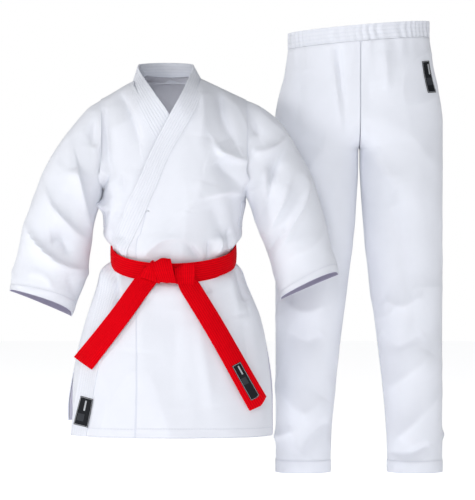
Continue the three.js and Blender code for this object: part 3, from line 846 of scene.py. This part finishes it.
class UNIFORM_OT_back(bpy.types.Operator):
    """Hangs the two halves of the back, with the yoke lining inside"""

    bl_idname = "uniform.back"
    bl_label = "Jacket back"

    def execute(self, context):
        for name, side in SIDES:
            edges = (vent_side(side, True), always(side * math.pi))
            shape = panel_shape(edges, neck_back, back_hem, always(sizes().cloth), skirt_spread)
            sew(f"back_panel_{name}", (f"back_{name}", f"skirt_back_{name}"), shape, "hung", ("collar_band",),
                BACK_SKIRT)
        edge = math.pi - math.asin(ARMHOLE_X / CHEST_HALF) + math.radians(4)
        shape = panel_shape((always(edge), always(2 * math.pi - edge)), lambda turn: neck_back(turn) - 0.012,
                            always(ARMPIT_Z + 0.040), always(-INSIDE_GAP))
        sew("yoke", ("yoke_lining",), shape, "hung", ("back_panel_right", "back_panel_left"), "jacket",
            thickness=0.0016, outside="lining_painted_light", slot="white_lining")
        return {"FINISHED"}


FACING_TOP, HEM_DEEP, HEM_CLEAR = -0.455, 0.026, 0.001


class UNIFORM_OT_inside(bpy.types.Operator):
    """Adds the underarm gussets, the inner ties, the vent facings and the turned hems"""

    bl_idname = "uniform.inside"
    bl_label = "Gussets, ties and facings"

    def strip(self, name, node, edges, top, bottom, offset, carry, spread=None, slot="white_lining",
              thickness=0.0014, outside="facing"):
        shape = panel_shape(edges, always(top), always(bottom), offset, spread, rounded=False)
        rests_on = carry if isinstance(carry, str) else carry[1]
        sew(name, (node,), shape, "stretched", (rests_on,), carry, thickness=thickness, outside=outside,
            inside="facing", slot=slot)

    def execute(self, context):
        under, under_top = always(-INSIDE_GAP), over(-INSIDE_GAP)
        quarter = math.pi / 2
        low, back_low = HEM_Z + HEM_CLEAR, BACK_HEM_Z + HEM_CLEAR
        for name, side in SIDES:
            def between(*degrees):
                return [always(side * (quarter + math.radians(d))) for d in degrees]

            self.strip(f"gusset_{name}", f"underarm_gusset_{name}", between(-15, 15), UNDERARM_Z - 0.006,
                       UNDERARM_Z - 0.060, always(0.0032), "jacket", slot="white_cotton", thickness=0.0011,
                       outside="cotton")
            self.strip(f"tie_{name}", f"inner_tie_{name}", between(-17, -11), UNDERARM_Z - 0.024,
                       BELT_Z + 0.026, always(-0.0025), "jacket", slot="white_cotton")
            self.strip(f"facing_front_{name}", f"vent_facing_front_{name}", between(-4.2, -11), FACING_TOP,
                       low, under_top if side == LEFT else under, FRONT_SKIRT)
            self.strip(f"facing_back_{name}", f"vent_facing_back_{name}", between(4.2, 11), FACING_TOP,
                       back_low, under, BACK_SKIRT, spread=skirt_spread)
        inner = quarter - math.radians(12)

        def past_lapel(z):
            return turn_at(right_edge(z), z) + 0.05

        self.strip("hem_turning_left", "hem_front_left", (past_lapel, always(inner)), HEM_Z + HEM_DEEP, low,
                   under_top, FRONT_SKIRT)
        self.strip("hem_turning_right", "hem_front_right", (always(-inner), on_seam(right_seam)),
                   HEM_Z + HEM_DEEP, low, under, FRONT_SKIRT)
        self.strip("hem_turning_back", "hem_back", (always(math.pi - inner), always(math.pi + inner)),
                   BACK_HEM_Z + HEM_DEEP, back_low, under, BACK_SKIRT, spread=skirt_spread)
        return {"FINISHED"}


# ---- sleeves ----
RIGHT_SLEEVE_FOLDS = folds(
    (11, 4, 4.5, -206, -196, -202, -216, -193, -257, -180, -322), (-5, 12, 1, -162, -236, -176, -300),
    (10, 5, 3.4, -322, -312, -306, -347, -268, -388, -232, -408, -192, -412),
    (-9, 12, 1, -270, -350, -242, -352, -228, -384),
    (7, 7, 2.2, -282, -236, -262, -280, -222, -322, -190, -348),
    (4, 18, 1, -232, -120, -222, -190, -238, -250), (4, 12, 1, -318, -420, -280, -432, -262, -460),
    (-5, 14, 1, -230, -430, -218, -480), (-5, 11, 1, -172, -90, -178, -150),
)
LEFT_SLEEVE_FOLDS = folds(
    (6, 6, 2.2, 172, -156, 192, -158, 226, -146, 251, -126),
    (-9, 9, 1.7, 250, -136, 228, -176, 212, -226, 204, -278),
    (8, 5, 2.6, 300, -236, 286, -280, 262, -320, 240, -362), (7, 6, 2.4, 256, -232, 238, -280, 210, -330),
    (5, 8, 1, 206, -196, 202, -260), (-5, 8, 1, 206, -384, 230, -346, 262, -316),
    (4, 12, 1, 334, -330, 296, -372, 256, -390), (-3, 14, 1, 340, -380, 300, -420, 250, -440),
    (-8, 8, 1.8, 164, -58, 172, -96, 186, -122),
)
BACK_SLEEVE_FOLDS = folds(
    (8, 15, 1, 190, -90, 216, -170, 200, -260), (-7, 14, 1, 232, -130, 256, -220, 232, -320),
    (7, 12, 1, 310, -250, 256, -320, 204, -346), (-6, 12, 1, 336, -330, 280, -390, 216, -410),
    (5, 13, 1, 270, -190, 300, -260, 310, -330),
)
SLEEVE_DEPTH, CUFF_DEPTH = 0.064, 0.046
SLEEVES = {
    "right": (
        RIGHT,
        [(156, -42), (186, -70), (222, -106), (258, -154), (286, -205), (322, -306), (350, -427),
         (358, -466)],
        [(156, -248), (168, -286), (180, -330), (189, -394), (199, -440), (229, -519)],
        RIGHT_SLEEVE_FOLDS),
    "left": (
        LEFT,
        [(156, -43), (228, -90), (264, -145), (304, -215), (326, -285), (348, -374), (359, -431)],
        [(156, -244), (172, -272), (191, -331), (209, -382), (226, -440), (239, -482)],
        LEFT_SLEEVE_FOLDS),
}
CUFF_TURNING, CUFF_RISE = 0.055, 0.062
TURNING_THICK = 0.0012


def sleeve_shape(side, top, under, lines):
    upper, lower = spline(np.array(top) / 1000, 60), spline(np.array(under) / 1000, 60)

    def along(line, t):
        spots = np.linspace(0, 1, len(line))
        return np.stack([np.interp(t, spots, line[:, 0]), np.interp(t, spots, line[:, 1])], axis=-1)

    def tube(t, angle):
        a, b = along(upper, t), along(lower, t)
        middle, half = (a + b) / 2, (a - b) / 2
        depth = mix(SLEEVE_DEPTH, CUFF_DEPTH, t)
        flat = middle + half * np.cos(angle)[..., None]
        return xyz(side * flat[..., 0], np.sin(angle) * depth, flat[..., 1]), half, depth

    def shape(u, v):
        angle = u * 2 * math.pi + math.pi
        front = np.maximum(0, -np.sin(angle))
        t = v * (1 - CUFF_RISE * rise(v, 0.55, 1) * front ** 0.5)
        base, half, depth = tube(t, angle)
        span = np.linalg.norm(half, axis=-1)
        up = half / span[..., None]
        slope = np.cos(angle) / span
        out = unit(xyz(side * up[..., 0] * slope, np.sin(angle) / depth, up[..., 1] * slope))
        x, z = base[..., 0], base[..., 2]
        facing = rise(np.sin(angle), -0.2, 0.2)
        ahead = sum(f.at(x, z) for f in lines)
        behind = sum(f.at(np.abs(x), z) for f in BACK_SLEEVE_FOLDS)
        depth_out = mix(ahead, behind, facing) * sizes().fold_depth * (0.25 + 0.75 * np.abs(np.sin(angle)))
        lumps = 0.7 * speckle(base, 0.080, 5 + side) + 0.3 * speckle(base, 0.034, 9 + side)
        lumps += 2.2 * creases(base, 0.130, 13 + side)
        depth_out += sizes().wrinkle_depth * lumps
        loose = rise(v, 0.0, 0.12) * (1 - 0.55 * rise(v, 0.9, 1))
        turning = TURNING_THICK * rise(v, 1 - CUFF_TURNING - 0.004, 1 - CUFF_TURNING + 0.004)
        layer = sizes().cloth * (1 - 0.6 * rise(-v, -0.05, 0))
        return base + out * (depth_out * loose + turning + layer)[..., None]

    return shape


class UNIFORM_OT_sleeves(bpy.types.Operator):
    """Sews the two sleeves, each one tube from the armhole to its turned cuff"""

    bl_idname = "uniform.sleeves"
    bl_label = "Sleeves"

    def execute(self, context):
        for name, (side, top, under, lines) in SLEEVES.items():
            nodes = (f"sleeve_{name}_front", f"sleeve_{name}_back", f"cuff_{name}")
            carry = ("jacket", f"sleeve_{name}", (0.158 * side, 0, 0), (0.235 * side, 0, -0.03))
            sew(f"sleeve_tube_{name}", nodes, sleeve_shape(side, top, under, lines), "hung", ("jacket",),
                carry, outward=lambda p: (0, p[1], 0), inside="sleeve_inside_painted_shade", weld=True)
        return {"FINISHED"}


# ---- belt ----
KNOT_TURN, BELT_END = math.radians(-8), math.radians(0.3)
KNOT_Y = -0.130
TURN_GAP = 0.001
BELT_WAVE, BELT_SLIP = 0.0012, 0.0035  # how unevenly the turns lie, and how far the inner one shows below
ROUNDED = 0.55  # under 1 draws a wrap's round section out towards a box


def belt_offset(turn):
    behind = np.abs(np.arctan2(np.sin(turn), np.cos(turn)))
    front = sizes().band * 2 + 0.55 * LAYER_GAP - 0.0005
    back = sizes().cloth + 0.0012
    return mix(front, back, rise(behind, math.radians(56), math.radians(80))) - squeeze(turn)


def belt_ring(layer):
    def shape(u, v):
        turn = KNOT_TURN + mix(BELT_END, 2 * math.pi - BELT_END, v)
        slip = BELT_WAVE * np.sin(3 * turn + layer) - BELT_SLIP * (1 - layer)
        out = belt_offset(turn) + layer * (BELT_THICK + TURN_GAP) + BELT_THICK
        sag = BELT_WAVE * np.sin(5 * turn + 0.4) * np.sin(math.pi * u)
        point = on_body(turn, belt_low(turn), out + np.abs(sag), draped=False)
        point[..., 2] = belt_line(turn) + (0.5 - u) * BELT_WIDTH + slip
        return point

    return shape


def bulged(wave):
    return np.sign(wave) * np.abs(wave) ** ROUNDED


def wrap_shape(corners, depth, y):
    """A turn of the belt round the knot: corners are its left and right edges, top and bottom, as x and z."""
    top_left, bottom_left, top_right, bottom_right = (np.array(c) / 1000 for c in corners)

    def shape(u, v):
        angle = math.pi / 2 - 2 * math.pi * v
        up, out = bulged(np.sin(angle)), bulged(np.cos(angle))
        share = (1 - up) / 2
        left = mix(top_left, bottom_left, share[..., None])
        right = mix(top_right, bottom_right, share[..., None])
        flat = mix(left, right, u[..., None])
        crown = 0.0015 * np.sin(math.pi * u)
        peak = 0.006 * np.exp(-(((u - 0.55) / 0.3) ** 2)) * np.maximum(0, up) ** 3
        return xyz(flat[..., 0], y - depth / 2 - out * (depth / 2 + crown), flat[..., 1] + peak)

    return shape


KNOT_PIECES = {
    "knot_wrap": ("knot_core", ((-45, -402), (-29, -443), (-3, -393), (9, -446)), 0.0135, KNOT_Y),
    "knot_fold_left": (
        "knot_left", ((-52, -403), (-69, -432), (-34, -401), (-27, -447)), 0.0080, KNOT_Y + 0.001),
    "knot_fold_right": (
        "knot_right", ((5, -413), (8, -447), (50, -404), (48, -450)), 0.0050, KNOT_Y + 0.003),
}
TAIL_LAYER = 0.0135
ROOT_LIFT, MIDDLE_LIFT, END_LIFT = 0.009, 0.007, 0.004
CORNER_CUT, PINCH = 0.045, 0.38  # the left end's cut corner, and how much it narrows as it leaves the knot
TAILS = {
    "right": [(-40, -426), (-58, -453), (-100, -514), (-181, -623)],
    "left": [(18, -428), (34, -456), (82, -539), (126, -618), (176, -713)],
}


def tail_shape(line, curl):
    path = spline(np.array(line) / 1000, 60)
    spots = np.linspace(0, 1, len(path))

    def shape(u, v):
        v = v * (1 - CORNER_CUT * np.clip((u - 0.55) / 0.45, 0, 1) * max(curl, 0) * rise(v, 0.88, 1))
        x, z = np.interp(v, spots, path[:, 0]), np.interp(v, spots, path[:, 1])
        dx, dz = (np.interp(v + 0.01, spots, line) - np.interp(v - 0.01, spots, line) for line in path.T)
        size = np.hypot(dx, dz)
        over_edge = (u - 0.5) * BELT_WIDTH * (1 - PINCH * max(curl, 0) * (1 - rise(v, 0.02, 0.28)))
        x, z = x - dz / size * over_edge, z + dx / size * over_edge
        lift = ROOT_LIFT * (1 - v) ** 3 + MIDDLE_LIFT * np.sin(math.pi * v) ** 2 + END_LIFT * rise(v, 0.6, 1)
        lift += curl * 0.005 * rise(v, 0.6, 1) * (u - 0.5)
        bow = 0.0012 * np.sin(math.pi * u)
        return on_body(turn_at(x, z), z, TAIL_LAYER + BELT_THICK + lift + bow, draped=False)

    return shape


class UNIFORM_OT_belt(bpy.types.Operator):
    """Winds the belt twice round the waist, ties it and lets its two ends hang"""

    bl_idname = "uniform.belt"
    bl_label = "Belt, knot and tails"

    def execute(self, context):
        band = {"outside": "belt", "inside": "belt", "slot": "red_cotton"}
        long = {"thickness": BELT_THICK, "cell": (0.0012, sizes().cell), **band}
        for layer, name in enumerate(("inner", "outer")):
            sew(f"belt_turn_{name}", (f"belt_{name}_turn",), belt_ring(layer), "stretched", ("jacket",),
                "jacket", **long)
        for name, (node, corners, depth, y) in KNOT_PIECES.items():
            middle = y - depth / 2
            height = (corners[0][1] + corners[1][1]) / 2000
            sew(name, (node,), wrap_shape(corners, depth, y), "folded", ("belt_turn_outer",), "jacket",
                outward=lambda p: (0, (p[1] - middle) * 4, p[2] - height), thickness=0.0032,
                cell=(0.0012, 0.0025), weld=True, **band)
        for name, line in TAILS.items():
            start, end = (np.array([line[i][0], 0, line[i][1]]) / 1000 for i in (0, 2))
            carry = ("skirt_front", f"tail_{name}", mix(start, end, 0.3), mix(start, end, 0.8))
            shape = tail_shape(line, 1 if name == "left" else -1)
            sew(f"belt_end_{name}", (f"belt_tail_{name}",), shape, "hung", ("knot_wrap",), carry, **long)
        return {"FINISHED"}


# ---- trousers ----
SEAT_TOP_Z = WAIST_TOP_Z - WAISTBAND - 0.0004
TROUSER_FOLDS = folds(
    (-5, 8, 1, 363, 88, 367, 42, 379, -104), (4, 7, 1, 356, 48, 376, -101), (-3, 14, 1, 286, 42, 271, -97),
    (-3, 12, 1, 428, 6, 421, -84), (3, 12, 1, 470, 70, 476, -20), (4, 18, 1, 330, -150, 280, -230),
    (4, 18, 1, 440, -150, 500, -240), (3, 22, 1, 372, -170, 350, -330, 330, -520),
    (-4, 24, 1, 470, -200, 520, -420, 540, -600), (4, 16, 1, 240, -480, 290, -512, 340, -494),
    (-4, 14, 1, 250, -560, 300, -580, 330, -560), (4, 20, 1, 230, -680, 290, -740, 330, -700),
    (-5, 14, 1, 280, -830, 310, -790, 350, -760), (4, 12, 1, 220, -800, 270, -780),
    (4, 16, 1, 470, -480, 510, -500, 560, -470), (-4, 15, 1, 460, -560, 500, -590, 560, -560),
    (4, 16, 1, 480, -690, 540, -640, 570, -600), (5, 14, 1, 500, -800, 540, -760, 590, -700),
    (-5, 9, 1, 480, -830, 530, -830, 575, -810),
)
HEM_TURNING = 0.028
MIDDLE_GAP = 0.0004
NORMAL_STEP, NORMAL_Z = 0.02, 0.002


def trouser_point(side, face, angle, z):
    """A point on the trousers: angle 0 is the middle seam or inseam, and a half turn the outer seam."""
    drop = np.clip((RISE_Z - z) / (RISE_Z - CROTCH_Z), 0, 1)
    hollow = rise(-z, -RISE_Z, -RISE_Z + 0.200)
    apart = mix(1 - np.sqrt(1 - drop**2), hollow, rise(angle, 0.10, 1.10))
    wide = mix(TROUSER_WAIST_HALF, HIP_HALF, rise(-z, -SEAT_TOP_Z, -HIP_Z))
    leg = rise(-z, -CROTCH_Z, -TROUSER_HEM_Z)
    leg_half = mix(HIP_HALF / 2 - 0.001, TROUSER_HEM_HALF, leg)
    leg_deep = mix(TROUSER_DEPTH - 0.004, TROUSER_HEM_DEPTH, leg)
    leg_middle = mix(HIP_HALF / 2, HIP_HALF - TROUSER_HEM_HALF - 0.002, leg)
    x = mix(wide * np.sin(angle / 2), leg_middle - leg_half * np.cos(angle), apart)
    y = mix(TROUSER_DEPTH * np.cos(angle / 2), leg_deep * np.sin(angle), apart)
    tilt = WAIST_TILT * side * x * rise(z, RISE_Z, SEAT_TOP_Z)
    return xyz(TROUSER_X + side * (x + MIDDLE_GAP), TROUSER_Y + face * y, z + tilt + 0 * x)


def trouser_normal(side, face, angle, z):
    low = np.minimum(np.maximum(z, TROUSER_HEM_Z + 0.001), SEAT_TOP_Z)
    mid = np.clip(angle, 0.05, math.pi - 0.05)

    def step(turn, rise_z):
        return trouser_point(side, face, mid + turn, low + rise_z)

    out = np.cross(step(0, -NORMAL_Z) - step(0, NORMAL_Z), step(NORMAL_STEP, 0) - step(-NORMAL_STEP, 0))
    return unit(out * np.where((out[..., 1] * face) < 0, -1, 1)[..., None])


def trouser_drape(face, angle, z, base):
    x = base[..., 0]
    mirrored = x if face == FRONT else 2 * TROUSER_X - x
    depth = sum(f.at(mirrored, z) for f in TROUSER_FOLDS) * sizes().fold_depth
    lumps = speckle(base, 0.085, 21 + face) + 0.35 * speckle(base, 0.035, 25 + face)
    lumps += 2.0 * creases(base, 0.150, 28 + face)
    depth += 0.55 * sizes().wrinkle_depth * lumps
    girth = x / 0.0052
    pleats = np.sin(girth + 1.6 * np.sin(girth / 4.1) + face) * (0.6 + 0.4 * np.sin(girth / 6.3))
    depth += PLEAT_HEIGHT * pleats * rise(z, SEAT_TOP_Z - 0.070, SEAT_TOP_Z)
    edge = rise(np.sin(angle), 0, 0.35)
    return depth * edge * (1 - rise(z, SEAT_TOP_Z - 0.006, SEAT_TOP_Z) * 0.6)


def trouser_shape(side, face):
    def shape(u, v):
        angle = mix(0.0, math.pi, u)
        z = mix(SEAT_TOP_Z, TROUSER_HEM_Z, v)
        base = trouser_point(side, face, angle, z)
        fold = -TROUSER_HEM_Z - HEM_TURNING
        turning = TURNING_THICK * rise(-z, fold - 0.001, fold + 0.001)
        out = trouser_drape(face, angle, z, base) + turning
        return base + trouser_normal(side, face, angle, z) * out[..., None]

    return shape


def waist_shape(inset, low, high, deep):
    """A ring round the waist, drawn in by its elastic into close upright gathers."""

    def shape(u, v):
        turn = math.pi + v * 2 * math.pi
        z = mix(high, low, u)
        x = (TROUSER_WAIST_HALF - inset) * np.sin(turn)
        y = -(TROUSER_DEPTH - inset) * np.cos(turn)
        girth = turn * 26 + 1.4 * np.sin(turn * 7)
        pleat = deep * np.sin(girth * 1.9 + 0.8 * np.sin(u * 5)) * (0.65 + 0.35 * np.sin(turn * 11))
        away = xyz(np.sin(turn), -np.cos(turn), 0 * turn)
        point = xyz(TROUSER_X + x, TROUSER_Y + y, z + WAIST_TILT * x)
        return point + away * pleat[..., None]

    return shape


def crotch_gusset(u, v):
    angle = mix(-0.8, 0.8, v)
    deep, drop = TROUSER_DEPTH - 0.0059, RISE_Z - CROTCH_Z - 0.0059
    x = TROUSER_X + mix(-0.006, 0.006, u)
    return xyz(x, TROUSER_Y + deep * np.sin(angle), RISE_Z - drop * np.cos(angle))


class UNIFORM_OT_trousers(bpy.types.Operator):
    """Sews the trousers: four panels, the gathered waistband, its elastic and the crotch gusset"""

    bl_idname = "uniform.trousers"
    bl_label = "Trousers"

    def execute(self, context):
        for name, side in SIDES:
            carry = ("trousers", f"leg_{name}", (0, 0, -0.120), (0, 0, -0.330))
            for face_name, face in (("front", FRONT), ("back", BACK)):
                nodes = [f"seat_{face_name}_{name}", f"leg_{face_name}_{name}"]
                if face == FRONT:
                    nodes.append(f"leg_hem_{name}")
                sew(f"trouser_{face_name}_{name}", nodes, trouser_shape(side, face), "hung",
                    ("waistband_ring",), carry, outward=lambda p: (0, face, 0), outside="trouser_cotton")
        low, high = WAIST_TOP_Z - WAISTBAND, WAIST_TOP_Z
        ring = {"outward": from_axis(TROUSER_X, TROUSER_Y), "weld": True}
        sew("waistband_ring", ("waistband",), waist_shape(0.0, low, high, 0.0014), "gathered",
            ("waist_elastic_ring",), "trousers", fuller=1.25, cell=(0.0022, 0.0020), outside="gathered",
            **ring)
        sew("waist_elastic_ring", ("waist_elastic",), waist_shape(0.0045, low + 0.003, high - 0.003, 0.0004),
            "stretched", ("waistband_ring",), "trousers", cell=(0.0022, 0.0030), outside="elastic",
            inside="elastic", slot="elastic", **ring)
        sew("gusset_crotch", ("crotch_gusset",), crotch_gusset, "stretched",
            ("trouser_front_right", "trouser_front_left"), "trousers", outward=lambda p: (0, 0, -1),
            cell=(0.003, 0.003), outside="facing")
        return {"FINISHED"}


# ---- labels ----
LABEL_LIFT = 0.0011
JACKET_LABEL_X, JACKET_LABEL_Z = -0.186, -0.726
BELT_LABEL_AT = 0.850
TROUSER_LABEL_Z, TROUSER_LABEL_TURN, TROUSER_GIRTH = 0.010, math.radians(126), 0.060


def slanted(u, v, width, height, lean):
    """Where a point of a label is beside and above its middle, with the label leaning over."""
    across, up = (u - 0.5) * width, (0.5 - v) * height
    return across * math.cos(lean) + up * math.sin(lean), up * math.cos(lean) - across * math.sin(lean)


def jacket_label(u, v):
    x, z = slanted(u, v, *LABEL_SIZE, math.radians(12))
    z = z + JACKET_LABEL_Z
    turn = turn_at(x + JACKET_LABEL_X, z)
    return on_body(turn, z, over(sizes().band + LABEL_LIFT)(turn, z))


def belt_label(u, v):
    tail = tail_shape(TAILS["left"], 1)
    line = spline(np.array(TAILS["left"]) / 1000, 60)
    length = np.linalg.norm(np.diff(line, axis=0), axis=1).sum()
    wide, tall = BELT_LABEL_SIZE
    place_u = 0.5 + (u - 0.5) * wide / BELT_WIDTH
    place_v = BELT_LABEL_AT + (v - 0.5) * tall / length
    step = 0.004
    points = tail(place_u, place_v)
    out = np.cross(tail(place_u, place_v + step) - points, tail(place_u + step, place_v) - points)
    out *= -np.sign(out[..., 1:2])
    return points + unit(out) * LABEL_LIFT


def trouser_label(u, v):
    across, up = slanted(u, v, *LABEL_SIZE, math.radians(-3))
    z = TROUSER_LABEL_Z + up
    angle = TROUSER_LABEL_TURN + across / TROUSER_GIRTH
    base = trouser_point(LEFT, FRONT, angle, z)
    out = trouser_drape(FRONT, angle, z, base) + LABEL_LIFT
    return base + trouser_normal(LEFT, FRONT, angle, z) * out[..., None]


class UNIFORM_OT_labels(bpy.types.Operator):
    """Sews a plain woven label on the jacket, on one belt end and on the trousers"""

    bl_idname = "uniform.labels"
    bl_label = "Woven labels"

    def execute(self, context):
        places = (
            ("label_jacket", "jacket_label", jacket_label, "skirt_front", "label"),
            ("label_belt", "belt_label", belt_label, "tail_left", "belt_label"),
            ("label_trousers", "trouser_label", trouser_label, "trousers", "label"),
        )
        for name, node, shape, body, finish in places:
            sew(name, (node,), shape, "laid", (body,), body, thickness=0.0008, outward=lambda p: (0, -1, 0),
                cell=(0.0015, 0.0015), outside=finish, inside=finish, slot="black_label")
        return {"FINISHED"}


# ---- stage ----
STAGE_MIDDLE = (0.12, 0.0, -0.35)
LAMPS = (  # name, place, diameter, power and colour
    ("Key", (-3.9, -1.9, 1.5), 0.7, 58, (1.0, 0.99, 0.97)),
    ("Fill", (-0.5, -4.8, 1.1), 2.0, 80, (0.98, 0.99, 1.0)),
    ("Top", (0.3, -0.6, 3.4), 2.4, 14, (1.0, 1.0, 1.0)),
)
FLOOR_HALF, FLOOR_GLOW, SKY_STRENGTH = 9.0, 0.74, 0.23
CAMERA_PLACE, CAMERA_LENS = (0.141, -6.0, -0.374), 196


class UNIFORM_OT_stage(bpy.types.Operator):
    """Sets up a plain pale floor, soft studio light and the camera"""

    bl_idname = "uniform.stage"
    bl_label = "Floor, light and camera"

    def add(self, name, data):
        obj = bpy.data.objects.new(name, data)
        bpy.context.scene.collection.objects.link(obj)
        return obj

    def sky(self):
        """White where it is seen, and a soft cool light where it isn't."""
        world = bpy.data.worlds.new("Studio")
        world.use_nodes = True
        nodes, links = world.node_tree.nodes, world.node_tree.links
        soft, paper = nodes["Background"], nodes.new("ShaderNodeBackground")
        soft.inputs["Color"].default_value = (0.96, 0.975, 1.0, 1)
        soft.inputs["Strength"].default_value = SKY_STRENGTH
        paper.inputs["Color"].default_value = (1, 1, 1, 1)
        seen, either = nodes.new("ShaderNodeLightPath"), nodes.new("ShaderNodeMixShader")
        links.new(seen.outputs["Is Camera Ray"], either.inputs[0])
        links.new(soft.outputs[0], either.inputs[1])
        links.new(paper.outputs[0], either.inputs[2])
        links.new(either.outputs[0], nodes["World Output"].inputs["Surface"])
        return world

    def floor(self):
        bm = bmesh.new()
        bmesh.ops.create_grid(bm, x_segments=8, y_segments=8, size=FLOOR_HALF)
        bmesh.ops.translate(bm, verts=bm.verts[:], vec=(0, 0, TROUSER_HEM_Z - 0.0005))
        mesh = bpy.data.meshes.new("floor")
        bm.to_mesh(mesh)
        bm.free()
        paper = Finish("floor", 0.9)
        for key, value in (("Base Color", (*colours().floor, 1)), ("Emission Color", (1, 1, 1, 1)),
                           ("Emission Strength", FLOOR_GLOW)):
            paper.shader.inputs[key].default_value = value
        mesh.materials.append(paper.mat)
        self.add("floor", mesh)

    def execute(self, context):
        scene = context.scene
        scene.view_settings.view_transform = "Standard"
        scene.world = self.sky()
        self.floor()
        for name, place, size, power, colour in LAMPS:
            data = bpy.data.lights.new(name, "AREA")
            data.shape, data.size, data.energy, data.color = "DISK", size, power, colour
            lamp = self.add(name, data)
            lamp.location = place
            lamp.rotation_euler = (Vector(STAGE_MIDDLE) - Vector(place)).to_track_quat("-Z", "Y").to_euler()
        camera = self.add("Camera", bpy.data.cameras.new("Camera"))
        camera.data.lens = CAMERA_LENS
        camera.data.sensor_width = 36
        camera.location = CAMERA_PLACE
        camera.rotation_euler = (math.pi / 2, 0, 0)
        scene.camera = camera
        return {"FINISHED"}


class UNIFORM_PT_sidebar(bpy.types.Panel):
    """The uniform's sizes, colours and pieces"""

    bl_idname = "UNIFORM_PT_sidebar"
    bl_label = "Uniform"
    bl_space_type = "VIEW_3D"
    bl_region_type = "UI"
    bl_category = "Uniform"

    def draw(self, context):
        for group in (context.scene.uniform_sizes, context.scene.uniform_colours):
            for key in group.__annotations__:
                self.layout.prop(group, key)
        for piece in PIECES:
            self.layout.operator(piece.bl_idname)


PIECES = (
    UNIFORM_OT_stage,
    UNIFORM_OT_lapels,
    UNIFORM_OT_fronts,
    UNIFORM_OT_back,
    UNIFORM_OT_inside,
    UNIFORM_OT_sleeves,
    UNIFORM_OT_belt,
    UNIFORM_OT_trousers,
    UNIFORM_OT_labels,
)
CLASSES = (UniformSizes, UniformColours, *PIECES, UNIFORM_PT_sidebar)


def register():
    for cls in CLASSES:
        bpy.utils.register_class(cls)
    bpy.types.Scene.uniform_sizes = PointerProperty(type=UniformSizes)
    bpy.types.Scene.uniform_colours = PointerProperty(type=UniformColours)


def unregister():
    del bpy.types.Scene.uniform_colours
    del bpy.types.Scene.uniform_sizes
    for cls in reversed(CLASSES):
        bpy.utils.unregister_class(cls)


def main():
    register()
    for piece in PIECES:
        group, name = piece.bl_idname.split(".")
        getattr(getattr(bpy.ops, group), name)()


if __name__ == "__main__":
    main()
